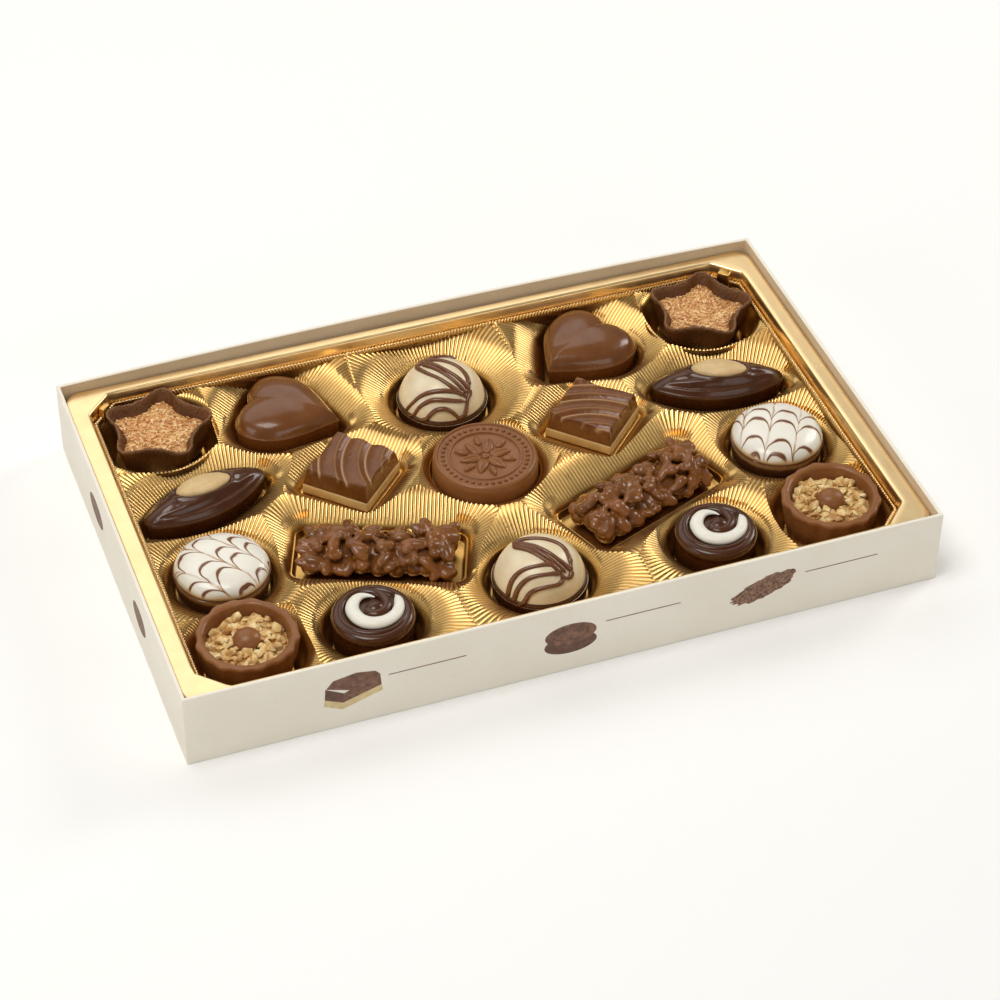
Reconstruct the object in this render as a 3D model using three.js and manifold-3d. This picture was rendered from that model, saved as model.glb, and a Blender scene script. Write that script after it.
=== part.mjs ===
// A flat carton of nineteen chocolate pralines, each in its own pocket of a thin gold insert.
// Millimetres, +Z up. X runs along the carton, Y from its front to its back.
import * as THREE from "three";
import { mergeVertices } from "three/addons/utils/BufferGeometryUtils.js";
import Module from "manifold-3d";

const wasm = await Module();
wasm.setup();

// Carton
const LENGTH = 270;
const WIDTH = 169;
const HEIGHT = 29.5;
const WALL = 1.3; // folded board, two layers
const BASE = 0.8;
const BACK_BOW = 2.5; // the back wall's top edge bends outwards by this much
const GAP = 0.3; // free space between pieces that touch

// Gold insert, formed from one thin sheet
const SHEET = 0.6;
const FLANGE_TOP = 25.7;
const FLANGE_CLEARANCE = 0.5;
const FLANGE_CORNER = 6;
const FIELD_TOP = 20.8;
const FIELD_X = 126; // half the sunk field's length
const FIELD_Y = 78;
const FIELD_CHAMFER = 9;
const ROUND_SIDES = 18;
const POCKET_SIDES = 14;
const UNDERSIDE_SIDES = 8; // the sheet's hidden underside follows its pockets more coarsely

const DEG = Math.PI / 180;
const TURN = 2 * Math.PI;

// A small repeatable random source, so that uneven pieces come out alike each time.
function randomSource(seed) {
  let state = seed >>> 0;
  return (low = 0, high = 1) => {
    state = (state + 0x6d2b79f5) >>> 0;
    let mixed = Math.imul(state ^ (state >>> 15), state | 1);
    mixed ^= mixed + Math.imul(mixed ^ (mixed >>> 7), mixed | 61);
    const share = ((mixed ^ (mixed >>> 14)) >>> 0) / 4294967296;
    return low + (high - low) * share;
  };
}

// Solids

// A three.js geometry as a closed solid, turned so that its faces point out.
function solid(geometry) {
  const bare = geometry.index ? geometry : mergeVertices(geometry);
  bare.deleteAttribute("normal");
  bare.deleteAttribute("uv");
  const merged = mergeVertices(bare, 1e-4);
  const points = merged.getAttribute("position").array;
  const corners = [];
  for (let i = 0; i < merged.index.count; i += 3) {
    const [a, b, c] = [0, 1, 2].map((k) => merged.index.getX(i + k));
    if (a !== b && b !== c && c !== a) corners.push([a, b, c]);
  }
  const at = (i) => new THREE.Vector3().fromArray(points, 3 * i);
  const volume = corners.reduce((sum, [a, b, c]) => sum + at(a).dot(at(b).cross(at(c))), 0);
  const facing = volume < 0 ? corners.map(([a, b, c]) => [a, c, b]) : corners;
  const mesh = new wasm.Mesh({
    numProp: 3,
    vertProperties: points,
    triVerts: new Uint32Array(facing.flat()),
  });
  return new wasm.Manifold(mesh);
}

// A skin through rings of points that share a count; a ring of one point closes an end.
function skin(rings) {
  const sides = Math.max(...rings.map((ring) => ring.length));
  const profile = rings.map((ring, j) => new THREE.Vector2(1, j));
  const geometry = new THREE.LatheGeometry(profile, sides);
  const position = geometry.getAttribute("position");
  for (let i = 0; i <= sides; i++)
    rings.forEach((ring, j) => {
      const p = ring[i % ring.length];
      position.setXYZ(i * rings.length + j, p.x, p.y, p.z);
    });
  return solid(geometry);
}

const level = (outline, z) => outline.map((p) => new THREE.Vector3(p.x, p.y, z));
const tip = (x, y, z) => [new THREE.Vector3(x, y, z)];
const scaled = (outline, share) => outline.map((p) => p.clone().multiplyScalar(share));

// A solid from [outline, height] pairs, closed at the middle of its first and last outline.
function stack(pairs) {
  const rings = pairs.map(([outline, z]) => level(outline, z));
  return skin([tip(0, 0, pairs[0][1]), ...rings, tip(0, 0, pairs.at(-1)[1])]);
}

// A turned solid from [radius, height] pairs, from the bottom middle round to the top middle.
function turned(pairs, sides) {
  const profile = pairs.map(([r, z]) => new THREE.Vector2(r, z));
  return solid(new THREE.LatheGeometry(profile, sides).rotateX(Math.PI / 2));
}

function moved(geometry, place, turn = new THREE.Euler()) {
  const matrix = new THREE.Matrix4().makeRotationFromEuler(turn).setPosition(place);
  return geometry.applyMatrix4(matrix);
}

const joined = (solids) => solids.reduce((whole, next) => whole.add(next));

// Outlines: each gives its points for a growth, the distance that it is moved outwards

const polar = (radius, angle) => new THREE.Vector2(radius * Math.cos(angle), radius * Math.sin(angle));

const circle = (radius, sides = ROUND_SIDES) => (grow = 0) =>
  Array.from({ length: sides }, (_, i) => polar(radius + grow, (TURN * i) / sides));

// Arcs follow each other round the outline; straight lines join them.
const arcs = (list) => (grow = 0) =>
  list.flatMap(({ x, y, radius, from, to, points }) =>
    Array.from({ length: points }, (_, i) => {
      const angle = from + ((to - from) * i) / (points - 1);
      return polar(radius + grow, angle).add(new THREE.Vector2(x, y));
    }),
  );

// The band round a list of circles, taken anticlockwise.
function roundHull(circles, points) {
  const normal = circles.map((a, i) => {
    const b = circles[(i + 1) % circles.length];
    const span = Math.hypot(b.x - a.x, b.y - a.y);
    return Math.atan2(b.y - a.y, b.x - a.x) - Math.acos((a.radius - b.radius) / span);
  });
  return arcs(
    circles.map((c, i) => {
      const from = normal[(i + circles.length - 1) % circles.length];
      let to = normal[i];
      while (to < from) to += TURN;
      return { ...c, from, to, points };
    }),
  );
}

function roundedBox(length, width, radius, points = 3) {
  const [x, y] = [length / 2 - radius, width / 2 - radius];
  const corners = [[x, y], [-x, y], [-x, -y], [x, -y]];
  return roundHull(corners.map(([cx, cy]) => ({ x: cx, y: cy, radius })), points);
}

// A pointed oval: two long arcs with small round tips.
function pointedOval(length, width, tipRadius) {
  const reach = length / 2 - tipRadius;
  const halfWidth = width / 2;
  const inner = halfWidth - tipRadius;
  const drop = (reach * reach - inner * inner) / (2 * inner);
  const lean = Math.atan2(reach, drop);
  const side = { x: 0, radius: drop + halfWidth, points: 7 };
  const end = { y: 0, radius: tipRadius, points: 3 };
  const quarter = Math.PI / 2;
  return arcs([
    { ...end, x: reach, from: -quarter + lean + 0.1, to: quarter - lean - 0.1 },
    { ...side, y: -drop, from: quarter - lean, to: quarter + lean },
    { ...end, x: -reach, from: quarter + lean + 0.1, to: 3 * quarter - lean - 0.1 },
    { ...side, y: drop, from: 3 * quarter - lean, to: 3 * quarter + lean },
  ]);
}

// A heart with its notch at -X and its point at +X.
function heartOutline(length, width, half = 14) {
  const [l, w] = [length / 2, width / 2];
  const shape = new THREE.Shape();
  shape.moveTo(-0.84 * l, 0);
  shape.bezierCurveTo(-1.02 * l, 0.14 * w, -1.2 * l, w, -0.36 * l, w);
  shape.bezierCurveTo(0.16 * l, w, 0.6 * l, 0.44 * w, l, 0);
  const upper = shape.getSpacedPoints(half);
  const lower = upper.slice(1, -1).reverse().map((p) => new THREE.Vector2(p.x, -p.y));
  return [...upper, ...lower].reverse();
}

// A star with five rounded points, the first at +X.
function starOutline(point, valley, sides = 25) {
  return Array.from({ length: sides }, (_, i) => {
    const angle = (TURN * i) / sides;
    const wave = 0.5 + 0.5 * Math.cos(5 * angle);
    return polar(valley + (point - valley) * Math.pow(wave, 1.15), angle);
  });
}

// How far an outline reaches in a direction.
const reachOf = (outline, angle) =>
  Math.max(...outline.map((p) => p.x * Math.cos(angle) + p.y * Math.sin(angle)));

// The polygon of the given number of sides that just holds an outline.
function around(outline, count) {
  const step = TURN / count;
  return Array.from({ length: count }, (_, i) => {
    const [a, b] = [i * step, (i + 1) * step];
    const [p, q] = [reachOf(outline, a), reachOf(outline, b)];
    const x = (p * Math.sin(b) - q * Math.sin(a)) / Math.sin(step);
    const y = (q * Math.cos(a) - p * Math.cos(b)) / Math.sin(step);
    return new THREE.Vector2(x, y);
  });
}

// Pockets: the outline of the smooth well at its floor, the heights of floor and rim,
// how far the wall leans out, and how far the ribbed slope reaches beyond the rim

const HEART = { length: 36.5, width: 35.2 };
const OVAL = { length: 48.5, width: 20.6, tip: 2.5 };
const SQUARE_SIDE = 26;
const BAR = { length: 56, width: 21.5, lumps: 11 };
const heartWell = (grow = 0) => {
  const holder = around(heartOutline(HEART.length, HEART.width), 20);
  return holder.map((p) => p.clone().setLength(p.length() + 0.8 + grow));
};
const ovalWell = pointedOval(OVAL.length + 1.8, OVAL.width + 1.8, 3.4);
const squareWell = roundedBox(SQUARE_SIDE + 1.4, SQUARE_SIDE + 1.4, 2.2);
const POCKET = {
  star: { well: circle(16.8, POCKET_SIDES), floor: 7.2, rim: 19.3, lean: 4.3, reach: 1.6 },
  heart: { well: heartWell, floor: 7, rim: 13, lean: 1, reach: 10.5 },
  dome: { well: circle(17.7, POCKET_SIDES), floor: 4.5, rim: 12.5, lean: 1.2, reach: 12.1 },
  oval: { well: ovalWell, floor: 7, rim: 13, lean: 1.2, reach: 10.5 },
  square: { well: squareWell, floor: 13.5, rim: 14.6, lean: 0.5, reach: 9.2 },
  medal: { well: circle(19.6, POCKET_SIDES), floor: 13, rim: 17, lean: 0.5, reach: 4.3 },
  round: { well: circle(17, POCKET_SIDES), floor: 7, rim: 13, lean: 1, reach: 11.5 },
  bar: { well: roundedBox(BAR.length + 3, BAR.width + 3.6, 3.5), floor: 8, rim: 12.2, lean: 0.9, reach: 12 },
  swirl: { well: circle(14.9, POCKET_SIDES), floor: 1.9, rim: 14, lean: 1.8, reach: 10 },
  cup: { well: circle(16, POCKET_SIDES), floor: 5.2, rim: 17, lean: 3.4, reach: 4 },
};

// Where the pralines lie: kind, side, place of the middle, turn about Z in degrees. They were
// laid in by hand, so a left and a right one are only nearly mirrored.
const PLACES = [
  { kind: "star", side: "left", x: -104.7, y: 58.5, turn: -2 },
  { kind: "star", side: "right", x: 105, y: 58.5, turn: -6 },
  { kind: "heart", side: "left", x: -56, y: 57, turn: -33 },
  { kind: "heart", side: "right", x: 56, y: 57.2, turn: 210 },
  { kind: "dome", side: "back", x: 0, y: 51.5, turn: 0 },
  { kind: "dome", side: "front", x: 0, y: -50.8, turn: 8 },
  { kind: "oval", side: "left", x: -98, y: 22.3, turn: 17 },
  { kind: "oval", side: "right", x: 97, y: 22.3, turn: -11 },
  { kind: "square", side: "left", x: -45.7, y: 17.2, turn: 45 },
  { kind: "square", side: "right", x: 45.8, y: 17.6, turn: -45 },
  { kind: "medal", side: "middle", x: 0.2, y: 5.1, turn: 0 },
  { kind: "round", side: "left", x: -102.6, y: -15.6, turn: 0 },
  { kind: "round", side: "right", x: 104.6, y: -14, turn: 0 },
  { kind: "bar", side: "left", x: -47.8, y: -20.8, turn: -21.5 },
  { kind: "bar", side: "right", x: 48.6, y: -22.4, turn: 21.5 },
  { kind: "cup", side: "left", x: -105.6, y: -57.2, turn: 0 },
  { kind: "cup", side: "right", x: 105.4, y: -57.4, turn: 40 },
  { kind: "swirl", side: "left", x: -61.6, y: -56, turn: 0 },
  { kind: "swirl", side: "right", x: 63.2, y: -55.6, turn: -8 },
];

// Materials

const finish = (color, roughness, metalness = 0) =>
  new THREE.MeshStandardMaterial({ color, roughness, metalness });
const PAPER = finish(0xe9e4d6, 0.75);
const GOLD = finish(0xd9a95a, 0.3, 1);
const MILK = finish(0x7a4a2c, 0.4);
const DARK = finish(0x3c2015, 0.3);
const WHITE = finish(0xefe9dc, 0.45);
const IVORY = finish(0xeeddbf, 0.4);
const CRUMB = finish(0xc98f50, 0.8);
const ALMOND = finish(0xd8b882, 0.6);
const CREAM = finish(0xcaa05c, 0.5);
const NUT = finish(0xdcb878, 0.6);

// Carton: a shallow tray whose back wall bows out towards its top edge

function bowedBlock(length, width, bottom, top) {
  const geometry = new THREE.BoxGeometry(length, width, top - bottom, 8, 1, 1);
  geometry.translate(0, 0, (top + bottom) / 2);
  const position = geometry.getAttribute("position");
  for (let i = 0; i < position.count; i++) {
    const [x, y, z] = [position.getX(i), position.getY(i), position.getZ(i)];
    const across = 1 - Math.pow((2 * x) / length, 2);
    if (y > 0) position.setY(i, y + (BACK_BOW * Math.max(across, 0) * Math.max(z, 0)) / HEIGHT);
  }
  return solid(geometry);
}

function carton() {
  const outside = bowedBlock(LENGTH, WIDTH, 0, HEIGHT);
  const inside = bowedBlock(LENGTH - 2 * WALL, WIDTH - 2 * WALL, BASE, HEIGHT + 5);
  return outside.subtract(inside);
}

// Insert: a block with the field and all pockets cut out, less the same block one sheet below

function pocketAir({ well, floor, rim, lean, reach }, sheet) {
  const outline = (grow) => (sheet ? around(well(grow + sheet), UNDERSIDE_SIDES) : well(grow));
  const lip = lean + reach;
  return stack([
    [outline(0), floor - sheet],
    [outline(lean), rim - sheet],
    [outline(lip), FIELD_TOP - sheet],
    [outline(lip), FLANGE_TOP + 5],
  ]);
}

function chamferedBox(halfX, halfY, chamfer) {
  const [x, y, c] = [halfX, halfY, chamfer];
  const back = [[x, y - c], [x - c, y], [c - x, y], [-x, y - c]];
  const corners = [...back, ...back.map(([u, v]) => [-u, -v])];
  return corners.map(([px, py]) => new THREE.Vector2(px, py));
}

function fieldAir(bottom, sheet) {
  const field = chamferedBox(FIELD_X + sheet, FIELD_Y + sheet, FIELD_CHAMFER);
  return stack([[field, bottom], [field, FLANGE_TOP + 5]]);
}

function insertAir(sheet) {
  const pockets = PLACES.map(({ kind, x, y, turn }) => {
    const air = pocketAir(POCKET[kind], sheet);
    return air.rotate([0, 0, turn]).translate([x, y, 0]);
  });
  const column = fieldAir(0, sheet);
  return joined(pockets).intersect(column).add(fieldAir(FIELD_TOP - sheet, sheet));
}

function insert() {
  const length = LENGTH - 2 * (WALL + FLANGE_CLEARANCE);
  const width = WIDTH - 2 * (WALL + FLANGE_CLEARANCE);
  const flange = roundedBox(length, width, FLANGE_CORNER, 5);
  const block = stack([[flange(), 0], [flange(), FLANGE_TOP]]);
  const lower = stack([[flange(5), -5], [flange(5), FLANGE_TOP - SHEET]]);
  return block.subtract(insertAir(0)).subtract(lower.subtract(insertAir(SHEET)));
}

// Pralines: each is made about its own middle, at its height in the carton

const rest = (kind) => POCKET[kind].floor + GAP;

// A star-shaped cup with a filling a few millimetres below its rim.
function star() {
  const bottom = rest("star");
  const rim = 24.4;
  const filling = 20.8;
  const outer = (inset, share = 1) => starOutline((19.8 - inset) * share, (14.4 - inset) * share);
  const shell = stack([
    [outer(0, 0.8), bottom],
    [outer(0, 0.98), rim - 1],
    [outer(0.3), rim],
  ]).subtract(
    stack([
      [outer(1.6, 0.86), filling - 5],
      [outer(1.4), rim + 2],
    ]),
  );
  const crumb = stack([
    [outer(1.6 + GAP, 0.86), filling - 5 + GAP],
    [outer(1.5 + GAP, 0.93), filling - 0.3],
    [outer(5), filling + 0.2],
  ]);
  return { shell: [shell, DARK], filling: [crumb, CRUMB] };
}

// A domed heart with a crisp edge round its lower side.
function heart() {
  const bottom = rest("heart");
  const outline = heartOutline(HEART.length, HEART.width);
  const steps = [[0.93, bottom], [1, 17.6], [0.985, 18.6], [0.88, 20.3], [0.68, 21.8], [0.4, 22.7]];
  return { "": [skin([...[[0, bottom]], ...steps, [0, 23]].map(([share, z]) =>
    share ? level(scaled(outline, share), z) : tip(-2.5, 0, z))), MILK] };
}

// The dome's own profile, and strands of chocolate that lie on it.
const DOME = [[15.9, 13.4], [15.3, 16], [13.2, 20.4], [9.2, 23.9], [4.4, 25.8], [0, 26.3]];
const STRAND = 0.95;

function domeHeight(radius) {
  const above = DOME.findIndex(([r], i) => i > 1 && r <= radius);
  if (above < 0) return DOME.at(-1)[1];
  const [[r0, z0], [r1, z1]] = [DOME[above - 1], DOME[above]];
  return z0 + ((z1 - z0) * (r0 - radius)) / (r0 - r1);
}

function strand(knots) {
  const onDome = ([x, y]) => new THREE.Vector3(x, y, domeHeight(Math.hypot(x, y)) + 0.15);
  const flat = new THREE.SplineCurve(knots.map(([x, y]) => new THREE.Vector2(x, y)));
  const path = new THREE.CatmullRomCurve3(flat.getPoints(8).map((p) => onDome([p.x, p.y])));
  const section = new THREE.Shape(circle(STRAND, 4)());
  return solid(new THREE.ExtrudeGeometry(section, { steps: 4, bevelEnabled: false, extrudePath: path }));
}

const STRANDS = [
  [[-7, 6.4], [-2.6, 3.6], [3.4, 2.2], [9.6, -0.6]],
  [[-6.4, 5.4], [-1.4, 1.4], [3.6, -4.4], [6.4, -9.6]],
  [[-7.2, 4.6], [-3, 0.4], [1.2, -5.2], [4, -10.8]],
  [[6.8, -9.4], [5.2, -11.6], [3.6, -13.2], [2, -13.4]],
  [[2.8, -9.4], [-3.4, -8.6], [-9.2, -6.2], [-13.4, -3.6]],
  [[2.6, -11.8], [-3.4, -11], [-8.6, -9], [-13, -6.6]],
];

function dome() {
  const bottom = rest("dome");
  const foot = [[0, bottom], [14.4, bottom], [16.6, 6.6], [17, 11.6], [16.4, 13.1], [0, 13.1]];
  const top = turned([[0, DOME[0][1]], ...DOME], ROUND_SIDES);
  return { foot: [turned(foot, ROUND_SIDES), DARK], top: [joined([top, ...STRANDS.map(strand)]), IVORY] };
}

// A pointed oval with lengthwise folds, and an almond sunk a little into its top.
function oval() {
  const bottom = rest("oval");
  const outline = (inset) => pointedOval(OVAL.length - 2 * inset, OVAL.width - 2 * inset, OVAL.tip)();
  const crown = (share, z) => scaled(outline(0), share).map((p) => {
    const fold = 0.35 * Math.cos((p.y * Math.PI) / 3.2);
    return new THREE.Vector3(p.x, p.y, z + fold * (1 - Math.pow(p.x / 24, 2)));
  });
  const body = skin([
    tip(0, 0, bottom),
    level(outline(1.4), bottom),
    level(outline(0), 16.6),
    level(outline(0.5), 17.6),
    crown(0.88, 20.1),
    crown(0.62, 21.6),
    tip(0, 0, 22),
  ]);
  const almondBall = (grow) => {
    const ball = new THREE.SphereGeometry(1, 12, 6).rotateX(Math.PI / 2);
    ball.scale(9.5 + grow, 5 + grow, 2.7 + grow);
    return solid(moved(ball, new THREE.Vector3(0.3, 0.4, 21.6)));
  };
  return { body: [body.subtract(almondBall(GAP)), DARK], almond: [almondBall(0), ALMOND] };
}

// A square of two layers; curved waves with sharp valleys are carved into its top.
const WAVE = { radius: 30, centreTurn: -66, pitch: 8.2, depth: 1.5, firstValley: -13.2, valleys: 4 };

function square() {
  const bottom = rest("square");
  const seam = bottom + 3.5;
  const top = 24.2;
  const plan = (width) => roundedBox(width, width, 0.8, 2)();
  const cream = stack([[plan(SQUARE_SIDE), bottom], [plan(SQUARE_SIDE - 0.6), seam]]);
  const block = stack([[plan(SQUARE_SIDE - 1), seam + GAP], [plan(22.8), top]]);
  const grooves = Array.from({ length: WAVE.valleys }, (_, i) => {
    const valley = WAVE.radius + WAVE.firstValley + WAVE.pitch * i;
    const [outer, inner] = [valley + 0.42 * WAVE.pitch, valley - 0.54 * WAVE.pitch];
    const above = top + 2;
    return turned([[valley, top - WAVE.depth], [outer, top + 0.05], [outer, above],
      [inner, above], [inner, top + 0.05], [valley, top - WAVE.depth]], 36);
  });
  const centre = polar(WAVE.radius, WAVE.centreTurn * DEG);
  const carving = joined(grooves).translate([centre.x, centre.y, 0]);
  return { cream: [cream, CREAM], nougat: [block.subtract(carving), MILK] };
}

// A thick round coin with a stepped rim and a plain six-petalled flower in low relief.
function medal() {
  const bottom = rest("medal");
  const top = 22.7;
  const body = turned(
    [[0, bottom], [18.2, bottom], [18.9, bottom + 1], [18.5, top - 0.9], [17.7, top], [12.9, top],
      [12.5, top - 0.5], [0, top - 0.5]],
    24,
  );
  const petals = Array.from({ length: 6 }, (_, i) => {
    const petal = new THREE.SphereGeometry(1, 6, 4).rotateX(Math.PI / 2).scale(3.4, 1.6, 0.7);
    const angle = (TURN * i) / 6;
    const place = new THREE.Vector3(6.2 * Math.cos(angle), 6.2 * Math.sin(angle), top - 0.55);
    return solid(moved(petal, place, new THREE.Euler(0, 0, angle)));
  });
  return { "": [joined([body, ...petals]), MILK] };
}

// A dark base under a smooth white cap.
function round() {
  const bottom = rest("round");
  const side = [[14.2, bottom], [15.9, bottom + 2], [16.1, 16.4]];
  const base = turned([[0, bottom], ...side, [0, 16.4]], ROUND_SIDES);
  const icing = turned(
    [[0, 16.7], [16.2, 16.7], [16.1, 18.6], [14.8, 20.6], [11.6, 22.1], [6.6, 22.9], [0, 23.2]],
    ROUND_SIDES,
  );
  return { base: [base, DARK], icing: [icing, WHITE] };
}

// A rough bar of nut slivers under chocolate: an uneven core with lumps and slivers fused on.
function bar(side) {
  const random = randomSource(side === "left" ? 41 : 87);
  const bottom = rest("bar");
  const ring = (share, z) => roundedBox(BAR.length - 3, BAR.width - 2, 6, 4)().map((p) => {
    const uneven = share * random(0.9, 1.08);
    return new THREE.Vector3(p.x * uneven, p.y * uneven, z + random(-0.4, 0.4));
  });
  const core = skin([
    tip(0, 0, bottom),
    level(roundedBox(BAR.length - 7, BAR.width - 5, 6, 4)(), bottom),
    ring(1, bottom + 4),
    ring(0.96, bottom + 9.4),
    ring(0.62, bottom + 12),
    tip(0, 0, bottom + 12.4),
  ]);
  const lumps = Array.from({ length: BAR.lumps }, (_, i) => {
    const along = (BAR.length - 7) * ((i + 0.5) / BAR.lumps - 0.5);
    const across = ((i % 3) - 1) * random(3.5, 6);
    const length = random(3.6, 6);
    const piece = new THREE.IcosahedronGeometry(1, 0).scale(length, random(1.8, 2.6), random(1.5, 2.2));
    const place = new THREE.Vector3(along, across, bottom + 11.8 - 0.08 * across * across);
    const turn = new THREE.Euler(random(-0.4, 0.4), random(-0.3, 0.3), random(0, Math.PI));
    return solid(moved(piece, place, turn));
  });
  return { "": [joined([core, ...lumps]), MILK] };
}

// A dark round body with a rope-like top edge and a white crescent band coiled into it.
const SWIRL = { radius: 14, top: 21.2, shoulder: 17 };

function bandRings(grow) {
  const steps = 11;
  const sidesOfBand = 6;
  return Array.from({ length: steps + 1 }, (_, i) => {
    const share = i / steps;
    const angle = (70 + 290 * share) * DEG;
    const radius = 2.6 + 7.2 * Math.pow(share, 0.75) + 0.4 * share;
    const thick = 0.35 + 2.5 * Math.sin(Math.PI * Math.min(1, 0.08 + share * 0.88)) ** 0.8 + grow;
    const z = SWIRL.top - 0.1 - 0.5 * share;
    return Array.from({ length: sidesOfBand }, (_, k) => {
      const around = (TURN * k) / sidesOfBand;
      const out = radius + thick * Math.cos(around);
      const height = z + 0.75 * thick * Math.sin(around);
      return new THREE.Vector3(out * Math.cos(angle), out * Math.sin(angle), height);
    });
  });
}

function middleOf(ring) {
  const sum = ring.reduce((total, p) => total.add(p), new THREE.Vector3());
  return [sum.divideScalar(ring.length)];
}

function bandSolid(grow) {
  const rings = bandRings(grow);
  return skin([middleOf(rings[0]), ...rings, middleOf(rings.at(-1))]);
}

function swirl() {
  const bottom = rest("swirl");
  const { radius, top, shoulder } = SWIRL;
  const body = turned(
    [[0, bottom], [radius - 1.6, bottom], [radius - 0.2, bottom + 3], [radius, shoulder],
      [radius - 1, shoulder + 2.6],
      [radius - 3.2, top], [radius - 5.2, top - 1.2], [3.4, top - 0.9], [0, top]],
    ROUND_SIDES,
  );
  return { body: [body.subtract(bandSolid(GAP)), DARK], band: [bandSolid(0), WHITE] };
}

// A thick-walled cup of chopped nuts with a small chocolate ball in the middle.
function cup(side) {
  const random = randomSource(side === "left" ? 7 : 19);
  const bottom = rest("cup");
  const rim = 25.3;
  const edge = (inset) => Array.from({ length: ROUND_SIDES }, (_, i) =>
    polar(17.4 - inset + 0.25 * Math.cos((i * TURN) / 3), (TURN * i) / ROUND_SIDES));
  const shell = stack([
    [edge(3.9), bottom],
    [edge(0.3), rim - 2.4],
    [edge(0), rim - 0.6],
    [edge(1), rim],
  ]).subtract(stack([[edge(5.2), bottom + 3], [edge(3), rim + 1]]));
  const bed = 21.4;
  const ballAt = new THREE.Vector3(0, 0, 23.2);
  const ball = (grow) => solid(moved(new THREE.IcosahedronGeometry(3.7 + grow, 1), ballAt));
  const heap = stack([[edge(5.5), bottom + 3 + GAP], [edge(3.9), bed]]);
  const chips = Array.from({ length: 11 }, (_, i) => {
    const spread = 6 + 5 * ((i * 0.382) % 1);
    const angle = i * 2.4;
    const size = random(2, 2.8);
    const chip = new THREE.BoxGeometry(size * 1.5, size, size);
    const height = bed + random(0.5, 1.2);
    const place = new THREE.Vector3(spread * Math.cos(angle), spread * Math.sin(angle), height);
    return solid(moved(chip, place, new THREE.Euler(random(0, 1), random(0, 1), random(0, 3))));
  });
  const nuts = joined([heap, ...chips]).subtract(ball(GAP));
  return { shell: [shell, MILK], nuts: [nuts, NUT], ball: [ball(0), MILK] };
}

// The whole box

const MAKERS = { star, heart, dome, oval, square, medal, round, bar, swirl, cup };

function meshOf(name, body, material) {
  const made = body.getMesh();
  const geometry = new THREE.BufferGeometry();
  geometry.setAttribute("position", new THREE.BufferAttribute(new Float32Array(made.vertProperties), 3));
  geometry.setIndex(new THREE.BufferAttribute(new Uint32Array(made.triVerts), 1));
  const mesh = new THREE.Mesh(geometry, material);
  mesh.name = name;
  return mesh;
}

const group = new THREE.Group();
group.position.y = -BACK_BOW / 2; // puts the origin under the middle of the box round the bowed carton
group.add(meshOf("carton", carton(), PAPER));
group.add(meshOf("insert", insert(), GOLD));
for (const { kind, side, x, y, turn } of PLACES) {
  const praline = new THREE.Group();
  praline.position.set(x, y, 0);
  praline.rotation.z = turn * DEG;
  for (const [part, [body, material]] of Object.entries(MAKERS[kind](side))) {
    const place = side === "middle" ? kind : `${kind}_${side}`;
    praline.add(meshOf(part ? `${place}_${part}` : place, body, material));
  }
  group.add(praline);
}

export default group;
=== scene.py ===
"""Looks of an open box of chocolate pralines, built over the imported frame.

Lengths are millimetres while a piece is made about its own middle; placing a piece turns it,
moves it to its pocket and scales it to metres.
"""
import logging
import math
import random
from dataclasses import dataclass
from enum import Enum
from typing import Callable, ClassVar, Iterable, Optional, Sequence, Union

import bmesh
import bpy
import numpy as np
from mathutils import Matrix, Vector, noise


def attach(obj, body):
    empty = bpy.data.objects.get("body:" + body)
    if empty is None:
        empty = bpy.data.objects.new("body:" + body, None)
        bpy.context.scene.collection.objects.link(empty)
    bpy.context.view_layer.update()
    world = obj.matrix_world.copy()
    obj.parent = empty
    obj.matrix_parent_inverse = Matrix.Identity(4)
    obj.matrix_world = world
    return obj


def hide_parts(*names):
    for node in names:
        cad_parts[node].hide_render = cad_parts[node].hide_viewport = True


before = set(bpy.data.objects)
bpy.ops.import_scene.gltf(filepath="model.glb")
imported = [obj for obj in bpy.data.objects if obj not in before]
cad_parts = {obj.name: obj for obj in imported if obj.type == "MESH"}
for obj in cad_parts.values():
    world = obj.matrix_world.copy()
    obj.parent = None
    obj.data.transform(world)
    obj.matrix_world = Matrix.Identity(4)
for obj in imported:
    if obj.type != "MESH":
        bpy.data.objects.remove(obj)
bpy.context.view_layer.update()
LOG = logging.getLogger("pralines")
MM = 0.001
TURN = 2 * math.pi
GOLDEN_ANGLE = 2.39996  # spreads points evenly over a disc
SHIFT_Y = -1.25  # from the middle of the straight carton to the origin of the part
Pair = tuple[float, float]
Triple = tuple[float, float, float]
Colour = Triple
Number = Union[float, np.ndarray]
Value = Union[float, Sequence[float], bpy.types.NodeSocket]


@dataclass(frozen=True)
class BoxSize:
    """The carton and the insert's field, as in the part's source."""

    length: float = 270
    width: float = 169
    height: float = 29.5
    wall: float = 1.3
    base: float = 0.8
    bow: float = 2.5
    flange_top: float = 25.7
    flange_gap: float = 0.5
    flange_corner: float = 6
    field_top: float = 20.8
    field_x: float = 126
    field_y: float = 78
    chamfer: float = 9


class Kind(Enum):
    """The kinds of praline in the box."""

    STAR = "star"
    HEART = "heart"
    DOME = "dome"
    OVAL = "oval"
    SQUARE = "square"
    MEDAL = "medal"
    ROUND = "round"
    BAR = "bar"
    CUP = "cup"
    SWIRL = "swirl"


@dataclass(frozen=True)
class Place:
    """Where one praline lies: the middle of its pocket and its turn in degrees."""

    kind: Kind
    side: str
    x: float
    y: float
    turn: float

    @property
    def name(self) -> str:
        """The stem of the praline's node names."""
        return self.kind.value if self.side == "middle" else f"{self.kind.value}_{self.side}"

    def matrix(self) -> Matrix:
        """The move from the praline's own millimetres to the frame's metres."""
        turn = Matrix.Rotation(math.radians(self.turn), 4, "Z")
        return Matrix.Scale(MM, 4) @ Matrix.Translation((self.x, self.y + SHIFT_Y, 0)) @ turn


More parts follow.
